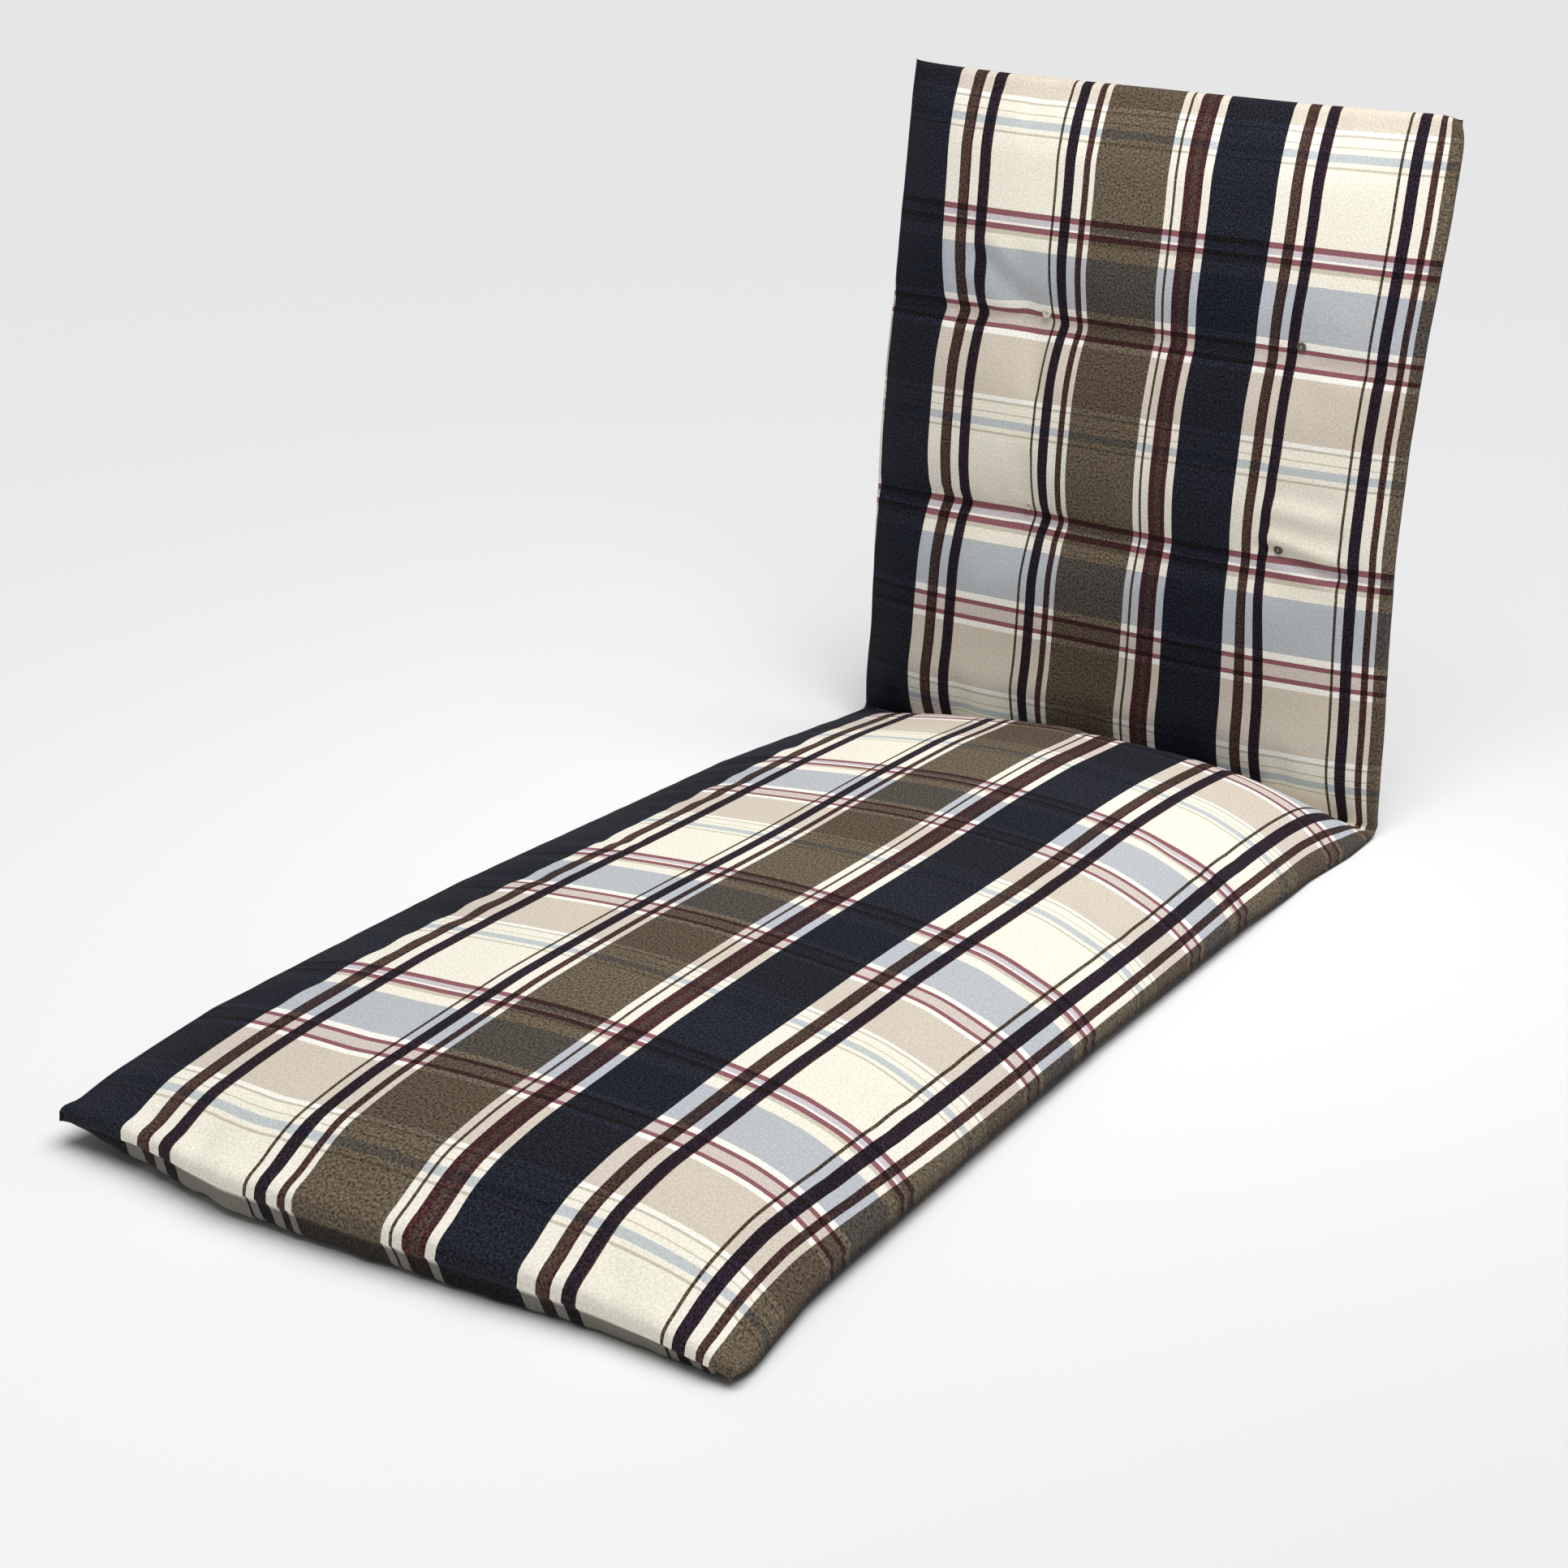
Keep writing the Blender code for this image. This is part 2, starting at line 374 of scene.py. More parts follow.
WEFT_REPEAT = (
    Stripe(WeftYarn.BURGUNDY, 5.5),
    Stripe(WeftYarn.LILAC, 6.0),
    Stripe(WeftYarn.WHITE, 2.5),
    Stripe(WeftYarn.BURGUNDY, 5.5),
    Stripe(WeftYarn.GREY_BEIGE, 4.5),
    Stripe(WeftYarn.CREAM, 13.3),
    Stripe(WeftYarn.BLUE, 55.0),
    Stripe(WeftYarn.WHITE, 7.0),
    Stripe(WeftYarn.BURGUNDY, 5.0),
    Stripe(WeftYarn.PINK_BEIGE, 12.2),
    Stripe(WeftYarn.BURGUNDY, 5.0),
    Stripe(WeftYarn.WHITE, 4.9),
    Stripe(WeftYarn.BEIGE, 63.0),
    Stripe(WeftYarn.WHITE, 4.6),
    Stripe(WeftYarn.FINE, 1.9),
    Stripe(WeftYarn.CREAM, 9.3),
    Stripe(WeftYarn.FINE, 1.9),
    Stripe(WeftYarn.CREAM, 5.6),
    Stripe(WeftYarn.BLUE_GREY, 8.4),
    Stripe(WeftYarn.CREAM, 5.1),
    Stripe(WeftYarn.FINE, 1.9),
    Stripe(WeftYarn.CREAM, 77.1),
)


def repeat_length(stripes: Sequence[Stripe]) -> float:
    """Length of one repeat of the check in metres."""
    return sum(stripe.width for stripe in stripes) * MILLIMETRE


def ramp_stops(stripes: Sequence[Stripe]) -> list[tuple]:
    """Work out the colour ramp of one repeat of the check.

    Args:
        stripes: The stripes of the repeat.

    Returns:
        Each stripe's place, from 0 to 1, and its linear colour.
    """
    total = sum(stripe.width for stripe in stripes)
    stops, place = [], 0.0
    for stripe in stripes:
        stops.append((place / total, linear_colour(stripe.yarn.value)))
        place += stripe.width
    return stops


@dataclass(frozen=True)
class CheckCloth:
    """Matt woven cotton with the check, which follows the cloth's own threads; its under face carries painted shade.
    """

    name: str = "check_cloth"
    thread_pitch: float = 0.0011
    weave_height: float = 0.00010
    slub_height: float = 0.00025
    slub_scale: float = 380.0
    slub_stretch: float = 0.12
    bump_strength: float = 0.6
    edge_fuzz: float = 0.0005
    fuzz_scale: float = 420.0
    roughness: float = 0.88
    roughness_swing: float = 0.12
    specular: float = 0.12
    sheen: float = 0.04
    sheen_roughness: float = 0.5
    darker_weft: float = 0.10
    grain_scale: float = 430.0
    grain_depth: float = 0.75
    dark_grain: float = 5.6
    noise_roughness: float = 0.6
    patch_scale: float = 14.0
    patch_depth: float = 0.08
    base_shade: float = 0.96
    least_shade: float = 0.15
    fleck: float = 0.12
    fleck_scale: float = 559.0
    # Painted shade: the share by which the colour of the whole under face, the rear of the back included, is darkened.
    under_face_painted_shade: float = 0.78

    def make(self) -> bpy.types.Material:
        """Build the material.

        Returns:
            The cloth's material.
        """
        material, bench, shader = new_finish(self.name)
        thread = bench.node("ShaderNodeAttribute", {"attribute_name": THREAD}).outputs["Vector"]
        split = bench.node("ShaderNodeSeparateXYZ", None, {0: thread})
        across, along = Value(bench, split.outputs[0]), Value(bench, split.outputs[1])
        fuzz = (bench.noise(thread, self.fuzz_scale, 2.0, self.noise_roughness) - 0.5) * self.edge_fuzz
        warp = self._threads(bench, across + fuzz, WARP_REPEAT)
        weft = self._threads(bench, along + fuzz, WEFT_REPEAT)
        darkness = 1.0 - Value(bench, bench.node("ShaderNodeRGBToBW", None, {0: warp}).outputs[0])
        colour = bench.mixed("MULTIPLY", 1.0, warp, weft)
        deeper = bench.mixed("MULTIPLY", 1.0, colour, weft)
        colour = bench.mixed("MIX", darkness * self.darker_weft, colour, deeper)
        grain = bench.noise(thread, self.grain_scale, 2.0, self.noise_roughness)
        # The colour is multiplied by the grain's tone and by painted shade on the under face.
        colour = bench.mixed("MULTIPLY", 1.0, colour, bench.grey(self._shade(bench, thread, grain, darkness)))
        flecks = bench.noise(thread, self.fleck_scale, 1.0, self.noise_roughness) - 0.5
        bench.fill(shader, {
            "Base Color": bench.mixed("ADD", 1.0, colour, bench.grey((flecks * self.fleck).at_least(0.0))),
            "Roughness": self.roughness + (grain - 0.5) * self.roughness_swing,
            "Normal": self._relief(bench, thread, across, along),
            "Specular IOR Level": self.specular,
            "Sheen Weight": self.sheen,
            "Sheen Roughness": self.sheen_roughness,
        })
        return material

    @staticmethod
    def _threads(bench: NodeBench, place: Value, stripes: Sequence[Stripe]) -> bpy.types.NodeSocket:
        """Colour of the threads at a place across them."""
        share = (place / repeat_length(stripes)).fraction()
        return bench.node("ShaderNodeValToRGB", {"stops": ramp_stops(stripes)}, {0: share}).outputs[0]

    def _shade(self, bench: NodeBench, thread: bpy.types.NodeSocket, grain: Value, darkness: Value) -> Value:
        """Shade of the grain, deeper in dark yarn, and a painted shade that darkens the whole under face, the rear of
        the back included.

        Args:
            bench: Makes the nodes.
            thread: Place in the check.
            grain: The grain's noise.
            darkness: How dark the yarn is.

        Returns:
            What the colour is multiplied by.
        """
        depth = darkness * darkness * darkness * self.dark_grain + self.grain_depth
        patch = bench.noise(thread, self.patch_scale, 3.0, self.noise_roughness)
        # Painted shade: on the under face, marked by the side in the sewing attribute, the colour is cut by a fixed
        # share, the rear of the back included.
        sewing = bench.node("ShaderNodeAttribute", {"attribute_name": SEWING}).outputs["Vector"]
        side = Value(bench, bench.node("ShaderNodeSeparateXYZ", None, {0: sewing}).outputs[2])
        under_face_shade_mask = (0.0 - side).at_least(0.0)
        shade = (self.base_shade + (grain - 0.5) * depth + patch * self.patch_depth).at_least(self.least_shade)
        return shade * (1.0 - under_face_shade_mask * self.under_face_painted_shade)

    def _relief(
        self, bench: NodeBench, thread: bpy.types.NodeSocket, across: Value, along: Value
    ) -> bpy.types.NodeSocket:
        """Raise the plain weave and its thicker threads.

        Args:
            bench: Makes the nodes.
            thread: Place in the check.
            across: Its part across the cushion.
            along: Its part along the cushion.

        Returns:
            The normal.
        """
        turn = math.pi / self.thread_pitch
        weave = (across * turn).sine() * (along * turn).sine()
        stretch = {"Vector": thread, "Scale": (1.0, self.slub_stretch, 1.0)}
        stretched = bench.node("ShaderNodeMapping", {"vector_type": "POINT"}, stretch).outputs[0]
        height = weave * self.weave_height + bench.noise(stretched, self.slub_scale, 2.0) * self.slub_height
        inputs = {"Strength": self.bump_strength, "Distance": 1.0, "Height": height}
        return bench.node("ShaderNodeBump", None, inputs).outputs["Normal"]


@dataclass(frozen=True)
class MottledFinish:
    """One colour with fine uneven shading, for the buttons and the sewing thread."""

    name: str
    colour: str
    roughness: float
    worn_share: float = 0.82
    scale: float = 900.0
    detail: float = 2.0
    roughness_swing: float = 0.2

    def make(self) -> bpy.types.Material:
        """Build the material.

        Returns:
            The finish's material.
        """
        material, bench, shader = new_finish(self.name)
        mottle = bench.noise(bench.node("ShaderNodeTexCoord").outputs["Object"], self.scale, self.detail)
        base = linear_colour(self.colour)
        worn = tuple(part * self.worn_share for part in base[:3]) + (1.0,)
        bench.fill(shader, {
            "Base Color": bench.mixed("MIX", mottle, base, worn),
            "Roughness": self.roughness + (mottle - 0.5) * self.roughness_swing,
        })
        return material


CREAM_BUTTON = MottledFinish("tuft_button", "#e6dec9", 0.42)
DARK_BUTTON = MottledFinish("dark_button", "#5c524c", 0.65)
SEWING_THREAD = MottledFinish("sewing_thread", "#d9d2be", 0.70, worn_share=0.65, scale=2500.0, detail=1.0)


class Face(Enum):
    """The two faces of the cushion: the one that is lain on and the one below or behind it."""

    UPPER = "upper"
    UNDER = "under"


class Fullness(NamedTuple):
    """How fast the fill falls away towards the left and the right seam."""

    left: float
    right: float


class SidePair(NamedTuple):
    """A size of the left and of the right side, at a share of a section's length from the fold."""

    share: float
    left: float
    right: float


class EdgePoint(NamedTuple):
    """How far the foot seam reaches past the seat's length, at a place across from -1 to 1."""

    across: float
    reach: float


class Swell(NamedTuple):
    """A soft swelling or hollow of the seat's upper face, its place in shares of the seat."""

    across: float
    along: float
    radius: float
    rise: float


class Tuft(NamedTuple):
    """A button's place on the back, across from -1 to 1 and above the fold, and how deep it pulls."""

    node: str
    across: float
    height: float
    depth: float


class Anchor(NamedTuple):
    """Where a thread of the check lies: metres from the left seam, and metres in the check."""

    cloth: float
    check: float


class SlipRow(NamedTuple):
    """How far the cloth has slipped at one place along the check, in millimetres at each place across it."""

    place: float
    slips: tuple[float, ...]


@dataclass(frozen=True)
class ClothSlip:
    """How the filling and the sewing have drawn the threads aside, eased between charted places."""

    across: tuple[float, ...]
    across_ease: float
    along_ease: float
    rows: tuple[SlipRow, ...]

    @staticmethod
    def _shares(values: np.ndarray, places: Sequence[float], ease: float) -> np.ndarray:
        """Share of each charted place in each value."""
        weights = bell(values[:, None] - np.array(places)[None, :], ease)
        return weights / weights.sum(axis=1, keepdims=True)

    def at(self, across: np.ndarray, along: np.ndarray) -> np.ndarray:
        """Slip in metres.

        Args:
            across: Places across the check, one for each column.
            along: Places along the check, one for each row.

        Returns:
            The slip of each row and column.
        """
        chart = np.array([row.slips for row in self.rows]) * MILLIMETRE
        down = self._shares(along, [row.place for row in self.rows], self.along_ease)
        over = self._shares(across, self.across, self.across_ease)
        return down @ chart @ over.T


SIDEWAYS_SLIP = ClothSlip(
    across=(-0.06, 0.02, 0.11, 0.21, 0.304, 0.40, 0.50, 0.575),
    across_ease=0.055,
    along_ease=0.085,
    rows=(
        SlipRow(-0.16, (-6, -5, -2, -1, 2, 5, 6, 2)),
        SlipRow(-0.01, (-19, -5, -3, -1, 1, 3, 3, 0)),
        SlipRow(0.14, (-26, -16, -7, 1, 5, 7, 6, 0)),
        SlipRow(0.29, (-27, -15, -5, 3, 7, 9, 9, -1)),
        SlipRow(0.44, (-20, -7, -5, -3, -1, 2, 2, 2)),
        SlipRow(0.59, (-15, -9, -6, -3, -2, 0, 2, 6)),
        SlipRow(0.74, (-18, -10, -6, -1, 4, 6, 6, 2)),
        SlipRow(0.89, (-24, -11, -5, 2, 8, 8, 6, -5)),
        SlipRow(1.04, (-28, -12, -4, 3, 7, 1, 0, -7)),
        SlipRow(1.19, (-25, -12, -5, 5, 11, 5, 2, -10)),
        SlipRow(1.34, (-19, -10, -5, 4, 13, 13, 8, -12)),
        SlipRow(1.44, (-10, -10, -7, -3, 7, 2, 2, -6)),
        SlipRow(1.54, (-6, -8, -11, -10, -4, 14, 6, -4)),
        SlipRow(1.64, (-6, -13, -14, -12, -4, -3, 4, 13)),
        SlipRow(1.74, (-6, -12, -16, -14, -10, 8, 7, 13)),
        SlipRow(1.84, (-17, -17, -13, -6, 9, 20, 25, 29)),
    ),
)
LENGTHWAYS_SLIP = ClothSlip(
    across=(-0.06, 0.15, 0.36, 0.575),
    across_ease=0.12,
    along_ease=0.12,
    rows=(
        SlipRow(-0.16, (17, 16, 15, 14)),
        SlipRow(0.04, (12, 11, 17, 15)),
        SlipRow(0.24, (8, 16, 15, 19)),
        SlipRow(0.44, (6, 11, 12, 18)),
        SlipRow(0.64, (4, 7, 8, 10)),
        SlipRow(0.84, (2, 4, 5, 3)),
        SlipRow(1.04, (-1, 3, 4, -1)),
        SlipRow(1.24, (-2, 1, 5, -1)),
        SlipRow(1.44, (-4, -4, 0, -5)),
        SlipRow(1.64, (-5, -8, -8, -9)),
        SlipRow(1.84, (-8, -13, -14, -11)),
    ),
)


class Pinch(NamedTuple):
    """A spot where the sewing draws the threads together: its place in the check, shift and reach."""

    across: float
    along: float
    shift: float
    across_reach: float
    along_reach: float

    def at(self, across: np.ndarray, along: np.ndarray) -> np.ndarray:
        """Sideways slip in metres at places in the check."""
        return self.shift * bell(across - self.across, self.across_reach) * bell(along - self.along, self.along_reach)


class Crease(NamedTuple):
    """A soft fold of the cloth: its ends in metres across and along the cloth, its depth, width and lip."""

    start: tuple[float, float]
    end: tuple[float, float]
    depth: float
    width: float
    lip_place: float = 2.2
    lip_share: float = 0.35
    fade: float = 5.0
    end_share: float = 0.15

    def at(self, across: np.ndarray, along: np.ndarray) -> np.ndarray:
        """Depth of the fold, less the lip beside it.

        Args:
            across: Metres across the cloth.
            along: Metres along the cloth from the sewn fold.

        Returns:
            The depth at each point.
        """
        start, run = np.array(self.start), np.array(self.end) - np.array(self.start)
        share = ((across - start[0]) * run[0] + (along - start[1]) * run[1]) / (run @ run)
        held = np.clip(share, 0.0, 1.0)
        gap = np.hypot(across - start[0] - held * run[0], along - start[1] - held * run[1])
        faded = smooth_step(np.minimum(held, 1.0 - held) * self.fade + self.end_share)
        lip = self.lip_share * bell(gap - self.lip_place * self.width, self.width)
        return self.depth * faded * (bell(gap, self.width) - lip)


@dataclass(frozen=True)
class CushionForm:
    """The filled form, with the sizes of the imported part."""

    half_width: float = 0.300
    seat_length: float = 1.188
    back_length: float = 0.700
    web: float = 0.0030
    web_reach: float = 0.012
    top_draw_in: float = 0.005
    top_draw_start: float = 0.7
    seat_fold_swell: float = 0.055
    seat_under: float = 0.062
    foot_tuck: float = 0.010
    foot_tuck_start: float = 0.9
    foot_arch: float = 0.006
    foot_arch_start: float = 0.85
    foot_line_start: float = 0.6
    corner_draw: float = 0.0060
    corner_reach: float = 0.012
    seat_front_round: float = 0.150
    seat_under_round: float = 0.085
    back_crown: float = 0.031
    back_rear: float = 0.030
    back_top_round: float = 0.095
    back_rear_round: float = 0.075
    back_fold_swell: float = 0.030
    fold_round: float = 1.8
    edge_round: float = 1.7
    end_power: float = 2.2
    back_lean: float = 0.095
    lean_reach: float = 0.110
    back_twist: float = 0.017
    furrow_left: float = 0.0210
    furrow_right: float = 0.0045
    furrow_ease_start: float = -0.5
    furrow_ease: float = 1.2
    furrow_width: float = 0.030
    furrow_crease: float = 0.008
    furrow_crease_share: float = 0.48
    dimple_width: float = 0.024
    seat_fullness: Fullness = Fullness(1.30, 3.20)
    under_fullness: Fullness = Fullness(5.00, 5.00)
    back_fullness: Fullness = Fullness(4.50, 2.80)
    fold_heights: tuple[float, float] = (0.018, 0.005)
    tufts: tuple[Tuft, ...] = (
        Tuft("tuft_button_left_lower", -0.395, 0.252, 0.0060),
        Tuft("tuft_button_left_upper", -0.395, 0.452, 0.0060),
        Tuft("tuft_button_right_lower", 0.590, 0.252, 0.0030),
        Tuft("tuft_button_right_upper", 0.590, 0.452, 0.0030),
    )
    tuft_rows: tuple[float, float] = (0.252, 0.452)
    seat_sides: tuple[SidePair, ...] = (
        SidePair(0.00, 0.298, 0.303),
        SidePair(0.06, 0.296, 0.300),
        SidePair(0.12, 0.295, 0.292),
        SidePair(0.50, 0.298, 0.289),
        SidePair(0.90, 0.300, 0.297),
        SidePair(1.00, 0.300, 0.311),
    )
    back_sides: tuple[SidePair, ...] = (
        SidePair(0.00, 0.298, 0.303),
        SidePair(0.12, 0.298, 0.298),
        SidePair(0.25, 0.302, 0.291),
        SidePair(0.40, 0.306, 0.285),
        SidePair(0.55, 0.306, 0.285),
        SidePair(0.70, 0.303, 0.289),
        SidePair(0.85, 0.301, 0.296),
        SidePair(1.00, 0.300, 0.300),
    )
    seam_heights: tuple[SidePair, ...] = (
        SidePair(0.00, 0.018, 0.005),
        SidePair(0.06, 0.019, 0.003),
        SidePair(0.15, 0.028, 0.010),
        SidePair(0.25, 0.038, 0.018),
        SidePair(0.60, 0.050, 0.021),
        SidePair(0.86, 0.048, 0.020),
        SidePair(0.95, 0.037, 0.016),
        SidePair(1.00, 0.026, 0.010),
    )
    crest_heights: tuple[SidePair, ...] = (
        SidePair(0.00, 0.076, 0.076),
        SidePair(0.17, 0.098, 0.080),
        SidePair(0.75, 0.100, 0.082),
        SidePair(1.00, 0.080, 0.080),
    )
    foot_line: tuple[EdgePoint, ...] = (
        EdgePoint(-1.00, -0.004),
        EdgePoint(-0.70, 0.000),
        EdgePoint(-0.40, 0.012),
        EdgePoint(0.00, 0.003),
        EdgePoint(0.30, -0.005),
        EdgePoint(0.60, -0.015),
        EdgePoint(0.85, -0.016),
        EdgePoint(1.00, -0.0145),
    )
    swells: tuple[Swell, ...] = (
        Swell(0.42, 0.30, 0.13, 0.004),
        Swell(-0.10, 0.42, 0.10, -0.004),
        Swell(0.30, 0.62, 0.12, -0.003),
        Swell(-0.35, 0.74, 0.14, 0.003),
    )

    @staticmethod
    def side_value(rows: Sequence[SidePair], u: np.ndarray, share: float) -> np.ndarray:
        """Read a side table, eased from left to right.

        Args:
            rows: The table.
            u: Places across, from -1 to 1.
            share: Share of the section's length.

        Returns:
            The value at each place.
        """
        shares = [row.share for row in rows]
        left = np.interp(share, shares, [row.left for row in rows])
        right = np.interp(share, shares, [row.right for row in rows])
        return left + (right - left) * (u + 1.0) / 2.0

    @staticmethod
    def towards_end(share: float, start: float) -> Any:
        """Ease from 0 at a share of the length to 1 at its end."""
        return smooth_step((share - start) / (1.0 - start))

    def fill_across(self, u: np.ndarray, fullness: Fullness) -> np.ndarray:
        """Share of the full height at u, from -1 at the left seam to 1 at the right one."""
        power = np.where(u < 0.0, fullness.left, fullness.right)
        return np.clip(1.0 - np.abs(u) ** power, 0.0, 1.0) ** (1.0 / self.edge_round)

    def fill_from_end(self, distance: float, reach: float) -> float:
        """Share of the full height at a distance from an end seam."""
        held = np.clip(distance / reach, 0.0, 1.0)
        return (1.0 - (1.0 - held) ** self.end_power) ** (1.0 / self.edge_round)

    def fill_from_fold(self, distance: float, height: float) -> float:
        """Share of the full height at a distance from the fold."""
        held = np.clip(distance / (self.fold_round * height), 0.0, 1.0)
        return 1.0 - (1.0 - held) ** self.fold_round

    def across_at(self, rows: Sequence[SidePair], u: np.ndarray, share: float) -> np.ndarray:
        """Place across in metres: the sides draw in between the corners."""
        return self.side_value(rows, np.where(u < 0.0, -1.0, 1.0), share) * u

    def top_draw(self, u: np.ndarray, share: float) -> np.ndarray:
        """How far the top seam draws in between its corners."""
        return self.top_draw_in * (1.0 - u ** 4) * self.towards_end(share, self.top_draw_start)

    def foot_reach(self, u: np.ndarray, share: float) -> np.ndarray:
        """How far the foot end reaches past a straight line."""
        reach = np.interp(u, [point.across for point in self.foot_line], [point.reach for point in self.foot_line])
        return reach * self.towards_end(share, self.foot_line_start)

    def seam_height(self, u: np.ndarray, share: float) -> np.ndarray:
        """Height of the seat's seam plane above the floor."""
        arch = self.foot_arch * (1.0 - u ** 4) * self.towards_end(share, self.foot_arch_start)
        return self.side_value(self.seam_heights, u, share) + arch

    def fold_height(self, u: np.ndarray) -> np.ndarray:
        """Height of the sewn fold above the floor."""
        left, right = self.fold_heights
        return left + (right - left) * (u + 1.0) / 2.0

    def web_at(self, u: np.ndarray, from_fold: float) -> np.ndarray:
        """Half thickness of the sewn web near the fold."""
        return self.web * (1.0 - u ** 8) * bell(from_fold, self.web_reach)

    def spot(self, u: np.ndarray, along: float, spot_u: float, spot_along: float, radius: float) -> np.ndarray:
        """A soft round bump at one place of a section."""
        return bell(np.hypot((u - spot_u) * self.half_width, along - spot_along), radius)

    def seat_points(self, u: np.ndarray, along: float, face: Face) -> np.ndarray:
        """Points of one row of the seat.

        Args:
            u: Places across, from -1 to 1.
            along: Metres from the fold.
            face: The upper or the under face.

        Returns:
            One point for each place.
        """
        share = along / self.seat_length
        seam = self.seam_height(u, share)
        from_fold = along - self.web
        web = self.web_at(u, from_fold)
        y = -(along + self.foot_reach(u, share))
        if face is Face.UPPER:
            full = self.fill_across(u, self.seat_fullness) * self.fill_from_fold(from_fold, self.seat_fold_swell)
            full = full * self.fill_from_end(self.seat_length - along, self.seat_front_round)
            swells = sum(
                swell.rise * self.spot(u, along, swell.across, swell.along * self.seat_length, swell.radius)
                for swell in self.swells
            )
            crest = self.side_value(self.crest_heights, u, share)
            z = seam + web + (crest - seam + swells) * full
        else:
            full = self.fill_across(u, self.under_fullness) * self.fill_from_fold(from_fold, self.seat_under)
            full = full * self.fill_from_end(self.seat_length - along, self.seat_under_round)
            y = y + 2.0 * web
            z = np.maximum(0.0, seam - web - self.seat_under * full)
            tucked = 1.0 - z / np.maximum(seam, 1e-6)
            y = y + self.foot_tuck * tucked * self.towards_end(share, self.foot_tuck_start)
        drawn = self._corner(u, self.seat_length - along)
        return np.stack([self.across_at(self.seat_sides, u, share) - drawn, y + drawn, z], axis=-1)

    def _corner(self, u: np.ndarray, from_end: float) -> np.ndarray:
        """How far the rounded right-hand corner of a section draws in."""
        gap = np.hypot((1.0 - u) * self.half_width, from_end)
        return self.corner_draw * bell(gap, self.corner_reach)

    def tuft_pull(self, u: np.ndarray, height: float) -> np.ndarray:
        """How deep the tufted rows pull the back's faces in.

        Args:
            u: Places across, from -1 to 1.
            height: Metres up from the fold.

        Returns:
            The depth at each place.
        """
        depth = self.furrow_left + (self.furrow_right - self.furrow_left) * smooth_step(
            (u - self.furrow_ease_start) / self.furrow_ease
        )
        rows = sum(
            (1.0 - self.furrow_crease_share) * bell(height - row, self.furrow_width)
            + self.furrow_crease_share * bell(height - row, self.furrow_crease)
            for row in self.tuft_rows
        )
        dimples = sum(
            tuft.depth * self.spot(u, height, tuft.across, tuft.height, self.dimple_width)
            for tuft in self.tufts
        )
        return depth * rows + dimples

    def back_points(self, u: np.ndarray, height: float, face: Face) -> np.ndarray:
        """Points of one row of the back.

        Args:
            u: Places across, from -1 to 1.
            height: Metres up from the fold.
            face: The upper face, which is the front, or the under face, which is the rear.

        Returns:
            One point for each place.
        """
        share = height / self.back_length
        from_fold = height - self.web
        to_end = self.back_length - height
        web = self.web_at(u, from_fold)
        up = height - self.top_draw(u, share)
        lean = smooth_step(height / self.lean_reach)
        sine, cosine = math.sin(self.back_lean), math.cos(self.back_lean)
        middle_y = up * sine * lean
        middle_z = self.fold_height(u) + up * (1.0 + (cosine - 1.0) * lean)
        full = self.fill_across(u, self.back_fullness)
        if face is Face.UPPER:
            full = full * self.fill_from_fold(from_fold, self.back_fold_swell)
            full = full * self.fill_from_end(to_end, self.back_top_round)
            depth = web + (self.back_crown - self.tuft_pull(u, height)) * full
            drop = 0.0
        else:
            full = full * self.fill_from_fold(from_fold, self.back_rear)
            full = full * self.fill_from_end(to_end, self.back_rear_round)
            depth = -web - (self.back_rear - self.tuft_pull(u, height)) * full
            drop = 2.0 * web
        depth = depth + self.back_twist * u * self.half_width * share
        y = middle_y - depth * cosine
        drawn = self._corner(u, to_end)
        z = middle_z + depth * sine * lean - drop - drawn
        return np.stack([self.across_at(self.back_sides, u, share) - drawn, y, z], axis=-1)

    def fold_points(self, u: np.ndarray, face: Face) -> np.ndarray:
        """Points of the sewn fold.

        Args:
            u: Places across, from -1 to 1.
            face: The upper face, inside the bend, or the under face, outside it.

        Returns:
            One point for each place.
        """
        sign = 1.0 if face is Face.UPPER else -1.0
        web = sign * self.web * (1.0 - u ** 8)
        return np.stack([self.half_width * u, -web, self.fold_height(u) + web], axis=-1)


